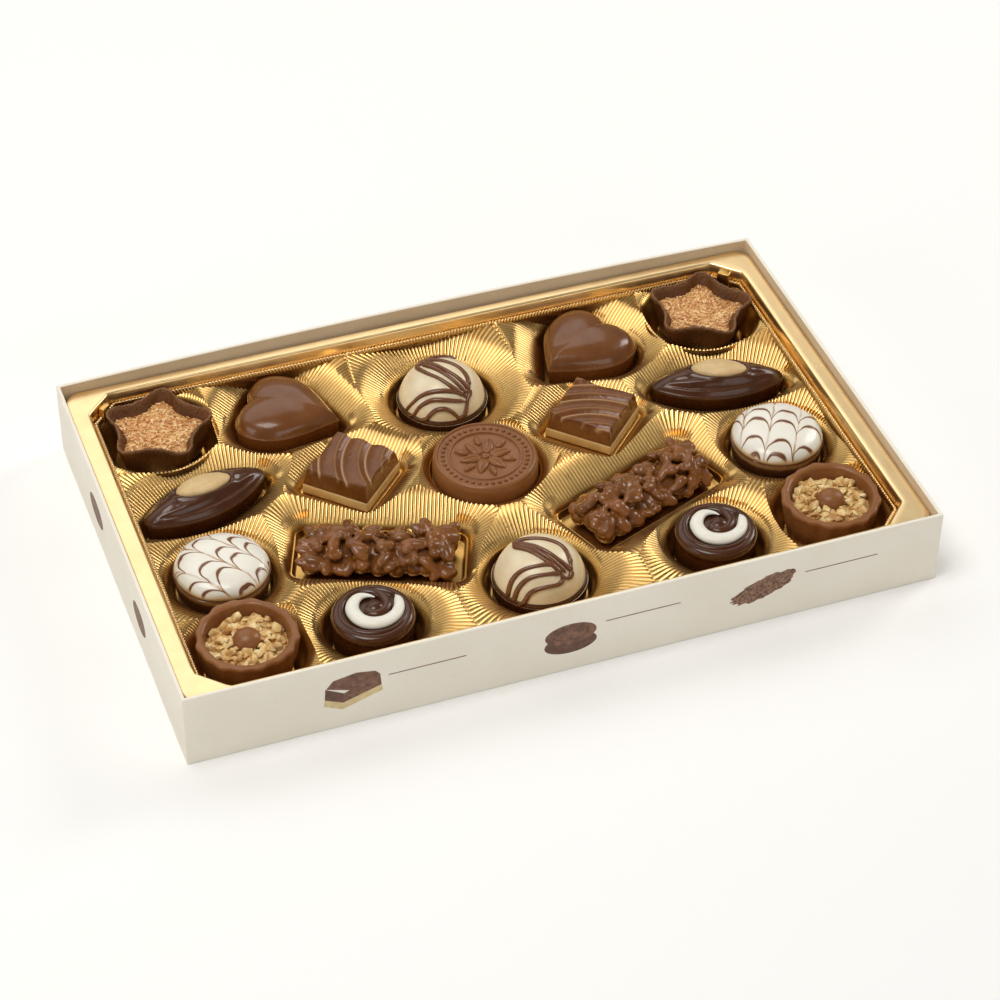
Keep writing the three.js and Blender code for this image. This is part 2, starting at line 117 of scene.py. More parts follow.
PLACES = (
    Place(Kind.STAR, "left", -104.7, 58.5, -2),
    Place(Kind.STAR, "right", 105, 58.5, -6),
    Place(Kind.HEART, "left", -56, 57, -33),
    Place(Kind.HEART, "right", 56, 57.2, 210),
    Place(Kind.DOME, "back", 0, 51.5, 0),
    Place(Kind.DOME, "front", 0, -50.8, 8),
    Place(Kind.OVAL, "left", -98, 22.3, 17),
    Place(Kind.OVAL, "right", 97, 22.3, -11),
    Place(Kind.SQUARE, "left", -45.7, 17.2, 45),
    Place(Kind.SQUARE, "right", 45.8, 17.6, -45),
    Place(Kind.MEDAL, "middle", 0.2, 5.1, 0),
    Place(Kind.ROUND, "left", -102.6, -15.6, 0),
    Place(Kind.ROUND, "right", 104.6, -14, 0),
    Place(Kind.BAR, "left", -47.8, -20.8, -21.5),
    Place(Kind.BAR, "right", 48.6, -22.4, 21.5),
    Place(Kind.CUP, "left", -105.6, -57.2, 0),
    Place(Kind.CUP, "right", 105.4, -57.4, 40),
    Place(Kind.SWIRL, "left", -61.6, -56, 0),
    Place(Kind.SWIRL, "right", 63.2, -55.6, -8),
)


@dataclass(frozen=True)
class Arc:
    """One arc of a rounded outline, taken anticlockwise."""

    x: float
    y: float
    radius: float
    start: float
    end: float


@dataclass(frozen=True)
class Outline:
    """A convex outline of arcs that straight lines join."""

    arcs: tuple[Arc, ...]

    def sampled(self, count: int, grow: float) -> tuple[np.ndarray, np.ndarray]:
        """Evenly spaced points of the outline.

        Args:
            count: how many points.
            grow: how far outwards the spacing is measured.

        Returns:
            The points of the outline itself, and the outward direction at each.
        """
        points, normals = [], []
        for arc in self.arcs:
            angles = np.linspace(arc.start, arc.end, 60)
            out = np.stack([np.cos(angles), np.sin(angles)], axis=1)
            points.append(np.array([arc.x, arc.y]) + arc.radius * out)
            normals.append(out)
        points = np.concatenate(points + [points[0][:1]])
        normals = np.concatenate(normals + [normals[0][:1]])
        along = distances(points + grow * normals)
        keep = np.concatenate([[True], np.diff(along) > 1e-9])
        wanted = np.linspace(0, along[-1], count, endpoint=False)
        place, out = (spaced(line[keep], along[keep], wanted) for line in (points, normals))
        return place, out / np.linalg.norm(out, axis=1, keepdims=True)

    def length(self, grow: float) -> float:
        """The outline's length when it is moved outwards by grow."""
        points, normals = self.sampled(400, grow)
        away = points + grow * normals
        return float(np.linalg.norm(away - np.roll(away, 1, axis=0), axis=1).sum())


def circle_outline(radius: float) -> Outline:
    """A round outline."""
    return Outline((Arc(0, 0, radius, 0, TURN / 2), Arc(0, 0, radius, TURN / 2, TURN)))


def hull_outline(circles: Sequence[Triple]) -> Outline:
    """The band round a list of circles (x, y, radius), taken anticlockwise."""
    normals = []
    for a, b in zip(circles, (*circles[1:], circles[0])):
        span = math.hypot(b[0] - a[0], b[1] - a[1])
        normals.append(math.atan2(b[1] - a[1], b[0] - a[0]) - math.acos((a[2] - b[2]) / span))
    arcs = []
    for i, (x, y, radius) in enumerate(circles):
        start, end = normals[i - 1], normals[i]
        while end < start:
            end += TURN
        arcs.append(Arc(x, y, radius, start, end))
    return Outline(tuple(arcs))


def box_outline(length: float, width: float, radius: float) -> Outline:
    """A rectangle with round corners."""
    x, y = length / 2 - radius, width / 2 - radius
    return hull_outline([(x, y, radius), (-x, y, radius), (-x, -y, radius), (x, -y, radius)])


def pointed_outline(length: float, width: float, tip: float) -> Outline:
    """Two long arcs that meet at small round tips."""
    reach, inner = length / 2 - tip, width / 2 - tip
    drop = (reach * reach - inner * inner) / (2 * inner)
    lean = math.atan2(reach, drop)
    quarter = TURN / 4
    return Outline((
        Arc(reach, 0, tip, -quarter + lean, quarter - lean),
        Arc(0, -drop, drop + width / 2, quarter - lean, quarter + lean),
        Arc(-reach, 0, tip, quarter + lean, 3 * quarter - lean),
        Arc(0, drop, drop + width / 2, 3 * quarter - lean, 3 * quarter + lean),
    ))


def eased(value: Number, low: float, high: float) -> Number:
    """0 below low, 1 above high and a smooth rise between them, for numbers and arrays."""
    share = np.clip((value - low) / (high - low), 0, 1)
    return share * share * (3 - 2 * share)


def distances(line: np.ndarray) -> np.ndarray:
    """How far along a line each of its knots lies."""
    return np.concatenate([[0], np.cumsum(np.linalg.norm(np.diff(line, axis=0), axis=1))])


def spaced(line: np.ndarray, along: np.ndarray, wanted: np.ndarray) -> np.ndarray:
    """Flat points at the wanted distances on a line whose knots lie at the distances along."""
    return np.stack([np.interp(wanted, along, line[:, k]) for k in (0, 1)], axis=1)


def at_height(flat: np.ndarray, height: Number) -> np.ndarray:
    """Flat points raised to one height, or each to its own."""
    return np.column_stack([flat, np.broadcast_to(height, len(flat))])


def round_points(radius: Number, angle: np.ndarray) -> np.ndarray:
    """Flat points at some distance and angles (in radians) from the middle."""
    return np.stack([radius * np.cos(angle), radius * np.sin(angle)], axis=1)


def rotated(flat: np.ndarray, degrees: float) -> np.ndarray:
    """Flat points turned about the origin."""
    a = math.radians(degrees)
    return flat @ np.array([[math.cos(a), math.sin(a)], [-math.sin(a), math.cos(a)]])


def ellipse(x: float, y: float, wide: float, tall: float) -> list[Pair]:
    """The outline of an upright ellipse round a middle."""
    return [(x + wide * math.cos(a), y + tall * math.sin(a)) for a in np.linspace(0, TURN, 40)[:-1]]


def smooth_line(knots: Sequence[Sequence[float]], count: int) -> np.ndarray:
    """Points on a smooth curve through knots, spaced evenly by knot."""
    line = np.array(knots, float)
    ends = np.concatenate([[2 * line[0] - line[1]], line, [2 * line[-1] - line[-2]]])
    steps = np.linspace(0, len(line) - 1, count)
    index = np.minimum(steps.astype(int), len(line) - 2)
    t = (steps - index)[:, None]
    a, b, c, d = (ends[index + k] for k in range(4))
    bend, twist = 2 * a - 5 * b + 4 * c - d, 3 * b - a - 3 * c + d
    return 0.5 * (2 * b + (c - a) * t + bend * t**2 + twist * t**3)


def points_of(bm: bmesh.types.BMesh) -> np.ndarray:
    """The places of a mesh's vertices."""
    return np.array([vert.co[:] for vert in bm.verts])


def vertices_in(geometry: Iterable[object]) -> list[bmesh.types.BMVert]:
    """The vertices among what a mesh operator gives back."""
    return [item for item in geometry if isinstance(item, bmesh.types.BMVert)]


def bent_grid(columns: int, rows: int, rule: Callable[[np.ndarray, np.ndarray], np.ndarray],
              weld: bool = True) -> bmesh.types.BMesh:
    """A grid bent into shape by a rule.

    Args:
        columns: faces along the first direction.
        rows: faces along the second direction.
        rule: gives points for arrays of shares (0 to 1) along both directions.
        weld: closes the grid where its edges meet.

    Returns:
        The new mesh.
    """
    bm = bmesh.new()
    bmesh.ops.create_grid(bm, x_segments=columns, y_segments=rows, size=0.5)
    flat = points_of(bm)
    bent = rule(flat[:, 0] + 0.5, flat[:, 1] + 0.5)
    for vert, point in zip(bm.verts, bent):
        vert.co = point
    if weld:
        bmesh.ops.remove_doubles(bm, verts=bm.verts[:], dist=1e-4)
        bmesh.ops.recalc_face_normals(bm, faces=bm.faces[:])
    return bm


def lofted(rings: np.ndarray, cap_start: bool = True, cap_end: bool = True) -> bmesh.types.BMesh:
    """A closed skin through rings of points, an array of (rings, points, 3)."""
    parts = [rings]
    if cap_start:
        parts.insert(0, np.repeat(rings[:1].mean(axis=1, keepdims=True), rings.shape[1], axis=1))
    if cap_end:
        parts.append(np.repeat(rings[-1:].mean(axis=1, keepdims=True), rings.shape[1], axis=1))
    table = np.concatenate(parts)
    count = table.shape[1]

    def rule(u: np.ndarray, v: np.ndarray) -> np.ndarray:
        """Looks up the ring and the place on it of each point."""
        return table[np.rint(v * (len(table) - 1)).astype(int), np.rint(u * count).astype(int) % count]

    return bent_grid(count, len(table) - 1, rule)


def spun(profile: Sequence[Pair], samples: int, steps: int = 96) -> bmesh.types.BMesh:
    """A turned piece with a smooth profile of (radius, height) knots."""
    line = smooth_line(profile, samples)
    line[:, 0] = np.maximum(line[:, 0], 0)
    bm = bmesh.new()
    verts = [bm.verts.new((r, 0, z)) for r, z in line]
    for a, b in zip(verts, verts[1:]):
        bm.edges.new((a, b))
    bmesh.ops.spin(bm, geom=bm.verts[:] + bm.edges[:], axis=(0, 0, 1), angle=TURN, steps=steps)
    bmesh.ops.remove_doubles(bm, verts=bm.verts[:], dist=1e-3)
    bmesh.ops.recalc_face_normals(bm, faces=bm.faces[:])
    return bm


def tube(path: np.ndarray, radii: np.ndarray, sides: int = 10, flat: float = 1.0) -> bmesh.types.BMesh:
    """A tube along a path, upright in section, with closed ends.

    Args:
        path: points of the middle line.
        radii: the tube's radius at each point.
        sides: points round the section.
        flat: the section's height over its width.

    Returns:
        The new mesh.
    """
    along = np.gradient(path, axis=0)
    side = np.stack([-along[:, 1], along[:, 0], np.zeros(len(path))], axis=1)
    side /= np.linalg.norm(side, axis=1, keepdims=True) + 1e-9
    up = np.cross(along, side)
    up /= np.linalg.norm(up, axis=1, keepdims=True) + 1e-9
    angles = np.linspace(0, TURN, sides, endpoint=False)
    wide = radii[:, None, None] * np.cos(angles)[None, :, None] * side[:, None, :]
    tall = flat * radii[:, None, None] * np.sin(angles)[None, :, None] * up[:, None, :]
    return lofted(path[:, None, :] + wide + tall)


def merged(parts: Sequence[bmesh.types.BMesh]) -> bmesh.types.BMesh:
    """One mesh of several, each kept whole."""
    whole = bmesh.new()
    for part in parts:
        mesh = bpy.data.meshes.new("part")
        part.to_mesh(mesh)
        part.free()
        whole.from_mesh(mesh)
        bpy.data.meshes.remove(mesh)
    return whole


def ruffled(bm: bmesh.types.BMesh, amount: float, size: float, seed: float,
            octaves: int = 3) -> bmesh.types.BMesh:
    """Moves each vertex along its normal by smooth noise with humps of about the given size."""
    bm.normal_update()
    offset = Vector((seed * 17.3, seed * 5.1, seed * 9.7))
    moves = [noise.fractal(v.co / size + offset, 0.8, 2.0, octaves) * amount * v.normal for v in bm.verts]
    for vert, move in zip(bm.verts, moves):
        vert.co += move
    return bm


def moved(bm: bmesh.types.BMesh, matrix: Matrix) -> bmesh.types.BMesh:
    """The mesh moved, turned and stretched by a matrix."""
    bmesh.ops.transform(bm, matrix=matrix, verts=bm.verts[:])
    return bm


def ball(subdivisions: int, radius: float, matrix: Matrix) -> bmesh.types.BMesh:
    """A ball of triangles, moved, turned and stretched by a matrix."""
    bm = bmesh.new()
    bmesh.ops.create_icosphere(bm, subdivisions=subdivisions, radius=radius)
    return moved(bm, matrix)


def tumbled(rng: random.Random, tilt: float) -> Matrix:
    """A random turn about the upright axis after a random tilt of at most so many radians."""
    turn = Matrix.Rotation(rng.uniform(0, TURN), 4, "Z")
    return turn @ Matrix.Rotation(rng.uniform(-tilt, tilt), 4, "X")


def softened(bm: bmesh.types.BMesh, edges: Sequence[bmesh.types.BMEdge], width: float,
             clamp: bool = False) -> bmesh.types.BMesh:
    """Rounds some edges of a mesh."""
    bmesh.ops.bevel(bm, geom=edges, offset=width, segments=3, profile=0.5, affect="EDGES", material=-1,
                    clamp_overlap=clamp)
    return bm


def smoothed(bm: bmesh.types.BMesh, above: float, rounds: int) -> bmesh.types.BMesh:
    """Evens out the part of a mesh above some height."""
    high = [vert for vert in bm.verts if vert.co.z > above]
    for _ in range(rounds):
        bmesh.ops.smooth_vert(bm, verts=high, factor=0.5, use_axis_x=True, use_axis_y=True, use_axis_z=True)
    return bm


def painted(bm: bmesh.types.BMesh, shades: Iterable[float]) -> bmesh.types.BMesh:
    """Writes each vertex's number of painted light and tone; on gold it gives painted shade below 0 and a
    painted highlight above it, on chocolate the squares' painted highlight lines and the stars' own paler
    rims.
    """
    layer = bm.verts.layers.float.new("light_and_tone")
    for vert, shade in zip(bm.verts, shades):
        vert[layer] = shade
    return bm


def facing_up(bm: bmesh.types.BMesh) -> bmesh.types.BMesh:
    """Turns the faces of an open sheet so that its upper side is its front."""
    bm.normal_update()
    if sum(face.normal.z * face.calc_area() for face in bm.faces) < 0:
        bmesh.ops.reverse_faces(bm, faces=bm.faces[:])
    return bm


@dataclass(frozen=True)
class Look:
    """How one piece is shown: its material, a slot name and the nodes that it stands for."""

    material: bpy.types.Material
    slot: str
    nodes: tuple[str, ...] = ()


def shown(name: str, bm: bmesh.types.BMesh, look: Look, place: Optional[Place] = None,
          smooth: float = 40) -> bpy.types.Object:
    """Turns a mesh into a piece that rides on the root body.

    Args:
        name: the piece's name.
        bm: its mesh in millimetres, which is used up.
        look: its material, slot and nodes.
        place: where the praline lies; none for pieces made in the box's own millimetres.
        smooth: the angle in degrees up to which edges are shaded smooth.

    Returns:
        The new object.
    """
    local = bm.verts.layers.float_vector.new("local")
    for vert in bm.verts:
        vert[local] = vert.co
    whole = place.matrix() if place else Matrix.Scale(MM, 4) @ Matrix.Translation((0, SHIFT_Y, 0))
    bmesh.ops.transform(bm, matrix=whole, verts=bm.verts[:])
    for edge in bm.edges:
        edge.smooth = len(edge.link_faces) < 2 or edge.calc_face_angle(0) < math.radians(smooth)
    for face in bm.faces:
        face.smooth = True
    mesh = bpy.data.meshes.new(name)
    bm.to_mesh(mesh)
    bm.free()
    mesh.materials.append(look.material)
    piece = bpy.data.objects.new(name, mesh)
    bpy.context.scene.collection.objects.link(piece)
    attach(piece, "root")
    if look.nodes:
        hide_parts(*look.nodes)
    return piece


class Graph:
    """A material under construction, with short calls for its nodes."""

    def __init__(self, name: str) -> None:
        """Starts a material of the given name with an empty Principled shader."""
        self.material = bpy.data.materials.new(name)
        self.material.use_nodes = True
        self.tree = self.material.node_tree
        self.shader = self.tree.nodes["Principled BSDF"]
        self.bumped: Optional[bpy.types.NodeSocket] = None

    def put(self, target: bpy.types.NodeSocket, value: Value) -> None:
        """Links a socket, or sets its constant."""
        if isinstance(value, bpy.types.NodeSocket):
            self.tree.links.new(value, target)
        else:
            target.default_value = value

    def set(self, **values: Value) -> "Graph":
        """Sets inputs of the shader; underscores stand for spaces."""
        for name, value in values.items():
            socket = self.shader.inputs[name.replace("_", " ")]
            is_colour = socket.type == "RGBA" and not isinstance(value, bpy.types.NodeSocket)
            self.put(socket, (*value, 1) if is_colour and len(value) == 3 else value)
        return self

    def attribute(self, name: str, output: str) -> bpy.types.NodeSocket:
        """A value kept on the mesh's own points."""
        node = self.tree.nodes.new("ShaderNodeAttribute")
        node.attribute_name = name
        return node.outputs[output]

    def local(self) -> bpy.types.NodeSocket:
        """The place on the piece in its own millimetres."""
        return self.attribute("local", "Vector")

    def split(self, vector: bpy.types.NodeSocket) -> tuple[bpy.types.NodeSocket, ...]:
        """The three numbers of a vector."""
        node = self.tree.nodes.new("ShaderNodeSeparateXYZ")
        self.put(node.inputs[0], vector)
        return tuple(node.outputs)

    def math(self, operation: str, *values: Value) -> bpy.types.NodeSocket:
        """One arithmetic step."""
        node = self.tree.nodes.new("ShaderNodeMath")
        node.operation = operation
        for socket, value in zip(node.inputs, values):
            self.put(socket, value)
        return node.outputs[0]

    def noise(self, size: float, detail: float = 3, roughness: float = 0.5,
              stretch: Triple = (1, 1, 1)) -> bpy.types.NodeSocket:
        """Noise between 0 and 1 with features of about the given size in millimetres."""
        mapping = self.tree.nodes.new("ShaderNodeMapping")
        self.put(mapping.inputs["Vector"], self.local())
        mapping.inputs["Scale"].default_value = [1 / (size * s) for s in stretch]
        node = self.tree.nodes.new("ShaderNodeTexNoise")
        self.put(node.inputs["Vector"], mapping.outputs[0])
        node.inputs["Scale"].default_value = 1
        node.inputs["Detail"].default_value = detail
        node.inputs["Roughness"].default_value = roughness
        return node.outputs["Fac"]

    def cells(self, size: float) -> dict[str, bpy.types.NodeSocket]:
        """Voronoi cells of about the given size in millimetres."""
        node = self.tree.nodes.new("ShaderNodeTexVoronoi")
        self.put(node.inputs["Vector"], self.local())
        node.inputs["Scale"].default_value = 1 / size
        return {socket.name: socket for socket in node.outputs}

    def ramp(self, value: Value, *stops: tuple[float, Colour]) -> bpy.types.NodeSocket:
        """A colour that changes with a number."""
        node = self.tree.nodes.new("ShaderNodeValToRGB")
        while len(node.color_ramp.elements) < len(stops):
            node.color_ramp.elements.new(0.5)
        for element, (position, colour) in zip(node.color_ramp.elements, stops):
            element.position = position
            element.color = (*colour, 1)
        self.put(node.inputs[0], value)
        return node.outputs[0]

    def rescale(self, value: Value, low: float, high: float, start: Value,
                end: Value) -> bpy.types.NodeSocket:
        """A number taken from one range to another, clamped."""
        node = self.tree.nodes.new("ShaderNodeMapRange")
        for socket, number in zip(node.inputs, (value, low, high, start, end)):
            self.put(socket, number)
        return node.outputs[0]

    def mix(self, share: Value, first: Value, second: Value) -> bpy.types.NodeSocket:
        """A blend of two colours."""
        node = self.tree.nodes.new("ShaderNodeMix")
        node.data_type = "RGBA"
        self.put(node.inputs["Factor"], share)
        for socket, colour in zip((node.inputs[6], node.inputs[7]), (first, second)):
            self.put(socket, (*colour, 1) if isinstance(colour, tuple) else colour)
        return node.outputs[2]

    def clouded(self, size: float, detail: float, deep: Colour, pale: Colour) -> bpy.types.NodeSocket:
        """Soft clouds between two colours, of about the given size in millimetres."""
        return self.mix(self.rescale(self.noise(size, detail=detail), 0.3, 0.7, 0, 1), deep, pale)

    def bump(self, height: Value, depth: float) -> "Graph":
        """Relief of the given depth in millimetres, laid over any relief set before."""
        node = self.tree.nodes.new("ShaderNodeBump")
        node.inputs["Strength"].default_value = 1
        node.inputs["Distance"].default_value = depth * MM
        self.put(node.inputs["Height"], height)
        if self.bumped is not None:
            self.put(node.inputs["Normal"], self.bumped)
        self.bumped = node.outputs[0]
        self.put(self.shader.inputs["Normal"], self.bumped)
        return self


@dataclass(frozen=True)
class Chocolate:
    """The look of one kind of chocolate."""

    name: str
    deep: Colour
    pale: Colour
    rough: float
    coat: float
    grain: float = 0.02

    def build(self) -> bpy.types.Material:
        """Makes the material: mottled colour, a paler colour where the mesh's number asks for it (painted
        highlight lines on the squares, the stars' own paler rims), uneven gloss and a fine uneven surface.
        """
        graph = Graph(self.name)
        fine = graph.noise(0.7, detail=2)
        plain = graph.clouded(9, 4, self.deep, self.pale)
        # paler colour from the mesh's number: painted highlight lines on the squares' waves and the stars'
        # own paler rims
        line = graph.rescale(graph.attribute("light_and_tone", "Fac"), 0, 1, 0, 0.75)
        colour = graph.mix(line, plain, (0.52, 0.3, 0.15))
        graph.set(Base_Color=colour, Coat_Weight=self.coat, Coat_Roughness=0.1, Specular_IOR_Level=0.32)
        gloss = graph.rescale(graph.noise(4), 0.3, 0.7, self.rough - 0.05, self.rough + 0.07)
        graph.set(Roughness=gloss)
        graph.bump(fine, self.grain)
        graph.bump(graph.noise(5, detail=2), 0.12)
        return graph.material


def gold_material() -> bpy.types.Material:
    """Bright gold metal on thin formed plastic, with painted shade in its rib hollows and a painted highlight
    on its crests, beads and frame, faintly brushed and dented.
    """
    graph = Graph("gold")
    plain = graph.clouded(14, 3, (0.61, 0.365, 0.105), (0.7, 0.43, 0.135))
    light_and_tone = graph.attribute("light_and_tone", "Fac")
    # painted shade: darker gold where the mesh's number is below 0, in the rib hollows and at the feet of the
    # beads
    dark = graph.mix(graph.rescale(light_and_tone, -1, 0, 0.85, 0), plain, (0.36, 0.185, 0.035))
    # painted highlight: paler gold where the mesh's number is above 0, on rib crests, bead tops and the frame
    graph.set(Base_Color=graph.mix(graph.rescale(light_and_tone, 0, 1, 0, 0.95), dark, (1, 0.76, 0.42)))
    graph.set(Metallic=1.0, Roughness=graph.rescale(graph.noise(6), 0.3, 0.7, 0.27, 0.36))
    graph.bump(graph.noise(9, detail=1), 0.1)
    return graph.material


def paper_material(name: str, deep: Colour, pale: Colour) -> bpy.types.Material:
    """Paper over board: faint fibres and cloudiness between two tones."""
    graph = Graph(name)
    fibres = graph.noise(0.5, detail=3, stretch=(3, 1, 1))
    base = graph.clouded(30, 4, deep, pale)
    darker = tuple(0.8 * channel for channel in deep)
    graph.set(Base_Color=graph.mix(graph.rescale(fibres, 0.55, 0.75, 0, 0.25), base, darker))
    graph.set(Roughness=0.6, Specular_IOR_Level=0.35)
    graph.bump(fibres, 0.012)
    graph.bump(graph.noise(18, detail=2), 0.1)
    return graph.material


def print_material(name: str, deep: Colour, pale: Colour, size: float) -> bpy.types.Material:
    """Printing ink on the paper, in two mottled tones."""
    graph = Graph(name)
    spots = graph.noise(size, detail=4, roughness=0.65)
    graph.set(Base_Color=graph.mix(graph.rescale(spots, 0.38, 0.62, 0, 1), deep, pale), Roughness=0.55)
    graph.bump(graph.noise(0.5), 0.01)
    return graph.material


def crumb_material() -> bpy.types.Material:
    """Caramel crumb: golden grains and red-brown gaps."""
    graph = Graph("crumb")
    cells = graph.cells(0.75)
    tone = graph.split(cells["Color"])[0]
    graph.set(Base_Color=graph.ramp(tone, (0, (0.42, 0.14, 0.035)), (0.35, (0.6, 0.26, 0.075)),
                                    (0.7, (0.76, 0.43, 0.15)), (1, (0.93, 0.7, 0.36))))
    graph.set(Roughness=0.5, Coat_Weight=0.2)
    graph.bump(cells["Distance"], 0.3)
    graph.bump(graph.noise(0.4), 0.05)
    return graph.material


def nut_material(name: str, deep: Colour, mid: Colour, pale: Colour) -> bpy.types.Material:
    """Cut nuts: each one's own tone, with browner skins in places and a dry grain."""
    graph = Graph(name)
    tone = graph.noise(3.4, detail=1)
    patch = graph.noise(1.1, detail=4)
    base = graph.ramp(tone, (0.3, deep), (0.5, mid), (0.7, pale))
    graph.set(Base_Color=graph.mix(graph.rescale(patch, 0.62, 0.78, 0, 0.7), base, deep))
    graph.set(Roughness=0.55, Subsurface_Weight=0.1, Subsurface_Scale=0.001)
    graph.bump(graph.noise(0.35, detail=3), 0.05)
    return graph.material


def almond_material() -> bpy.types.Material:
    """A peeled almond: pale buff with fine lengthwise veins."""
    graph = Graph("almond")
    veins = graph.noise(0.8, detail=3, stretch=(9, 1, 1))
    base = graph.clouded(5, 3, (0.56, 0.38, 0.17), (0.69, 0.5, 0.255))
    graph.set(Base_Color=graph.mix(graph.rescale(veins, 0.5, 0.75, 0, 0.5), base, (0.5, 0.32, 0.13)))
    graph.set(Roughness=0.5, Subsurface_Weight=0.15, Subsurface_Scale=0.001)
    graph.bump(veins, 0.05)
    return graph.material


def cream_material(name: str, deep: Colour, pale: Colour, rough: float) -> bpy.types.Material:
    """A smooth pale mass with faint clouds and tiny specks."""
    graph = Graph(name)
    specks = graph.cells(1.3)["Distance"]
    base = graph.clouded(7, 4, deep, pale)
    graph.set(Base_Color=graph.mix(graph.rescale(specks, 0.05, 0.13, 0.25, 0), base, deep))
    graph.set(Roughness=rough, Subsurface_Weight=0.12, Subsurface_Scale=0.0015)
    graph.bump(graph.noise(0.6, detail=3), 0.02)
    graph.bump(graph.noise(4, detail=2), 0.12)
    return graph.material


@dataclass(frozen=True)
class Feathering:
    """Brown lines across white icing, pulled into hooks along straight strips.

    heading is the direction of the pull in degrees; a strip's number is offset + spread * p +
    bend * p * p, with p the distance across the pull; first is where a pair of lines starts.
    """

    heading: float
    offset: float
    spread: float
    bend: float
    first: float
    period: float = 16
    second: float = 0.37
    depth: float = 6.2

    def build(self, name: str) -> bpy.types.Material:
        """Makes white icing with the feathered lines."""
        graph = Graph(name)
        x, y, z = graph.split(graph.local())
        way = math.radians(self.heading)
        wobble = graph.math("MULTIPLY", graph.math("SUBTRACT", graph.noise(6, detail=1), 0.5), 2.4)

        def weighed(a: float, b: float) -> bpy.types.NodeSocket:
            """A times x plus b times y, at each point of the icing."""
            return graph.math("ADD", graph.math("MULTIPLY", x, a), graph.math("MULTIPLY", y, b))

        swerve = graph.math("MULTIPLY", wobble, 0.7)
        along = graph.math("ADD", weighed(math.cos(way), math.sin(way)), wobble)
        across = graph.math("ADD", weighed(-math.sin(way), math.cos(way)), swerve)
        rate = graph.math("ADD", graph.math("MULTIPLY", across, self.bend), self.spread)
        number = graph.math("MULTIPLY", across, rate)
        share = graph.math("FRACT", graph.math("ADD", number, self.offset + 50.5))
        swing = graph.math("ABSOLUTE", graph.math("SUBTRACT", graph.math("MULTIPLY", share, 2), 1))
        tail = graph.math("MULTIPLY", graph.math("POWER", swing, 3.2), self.depth)
        pulled_back = graph.math("SUBTRACT", graph.math("SUBTRACT", along, tail), self.first)
        rows = graph.math("DIVIDE", pulled_back, self.period)
        cycle = graph.math("FRACT", graph.math("ADD", rows, 20))
        starts = (0.2, 0.2 + self.second)
        gaps = [graph.math("ABSOLUTE", graph.math("SUBTRACT", cycle, start)) for start in starts]
        near = graph.math("MULTIPLY", graph.math("MINIMUM", *gaps), self.period)
        slim = graph.rescale(swing, 0, 0.95, 0.66, 0.36)
        outside = graph.math("SUBTRACT", near, slim)
        line = graph.rescale(outside, -0.12, 0.14, 1, 0)
        halo = graph.rescale(outside, 0, 0.75, 1, 0)
        edge = graph.math("DIVIDE", graph.math("SUBTRACT", 1, swing), 2 * self.spread)
        pulled = graph.rescale(edge, 0.06, 0.5, 1, 0)
        faint = graph.rescale(graph.noise(5, detail=1), 0.4, 0.6, 0.35, 0.95)
        white = graph.clouded(6, 3, (0.77, 0.735, 0.64), (0.82, 0.795, 0.715))
        cap = graph.rescale(graph.math("ADD", z, swerve), 17.9, 19.3, 0, 1)
        side = graph.mix(graph.rescale(z, 16.8, 18.2, 0, 1), (0.15, 0.055, 0.014), (0.6, 0.42, 0.22))
        tinted = graph.mix(graph.math("MULTIPLY", halo, 0.4), white, (0.55, 0.33, 0.12))
        drawn = graph.mix(graph.math("MULTIPLY", pulled, faint), tinted, (0.44, 0.22, 0.06))
        lined = graph.mix(line, drawn, (0.15, 0.048, 0.014))
        graph.set(Base_Color=graph.mix(cap, side, lined))
        graph.set(Roughness=0.3, Subsurface_Weight=0.1, Subsurface_Scale=0.001, Coat_Weight=0.15)
        graph.bump(graph.math("MAXIMUM", line, pulled), 0.1)
        graph.bump(graph.noise(4, detail=2), 0.15)
        return graph.material


def base_material() -> bpy.types.Material:
    """The side under the icing: pale where the filling shows, then dark chocolate."""
    graph = Graph("round_base")
    z = graph.split(graph.local())[2]
    edge = graph.math("ADD", z, graph.math("MULTIPLY", graph.noise(5, detail=3), 1.6))
    dark = graph.mix(graph.noise(5, detail=3), (0.05, 0.017, 0.006), (0.085, 0.03, 0.01))
    graph.set(Base_Color=graph.mix(graph.rescale(edge, 15.2, 16.4, 0, 1), dark, (0.34, 0.2, 0.08)))
    graph.set(Roughness=0.34, Coat_Weight=0.1)
    graph.bump(graph.noise(4, detail=3), 0.15)
    return graph.material


CHOCOLATES = (
    Chocolate("milk", (0.13, 0.042, 0.009), (0.17, 0.06, 0.014), 0.24, 0.25),
    Chocolate("matte_milk", (0.21, 0.078, 0.021), (0.26, 0.104, 0.033), 0.32, 0.0, 0.03),
    Chocolate("glossy_milk", (0.13, 0.042, 0.007), (0.24, 0.085, 0.018), 0.26, 0.2),
    Chocolate("dark", (0.048, 0.0138, 0.003), (0.075, 0.023, 0.006), 0.24, 0.12),
    Chocolate("rough_rim", (0.085, 0.027, 0.004), (0.15, 0.05, 0.01), 0.46, 0.0, 0.18),
    Chocolate("nougat", (0.125, 0.037, 0.005), (0.17, 0.056, 0.009), 0.27, 0.1, 0.03),
    Chocolate("drizzle", (0.13, 0.043, 0.014), (0.17, 0.062, 0.022), 0.24, 0.3),
)


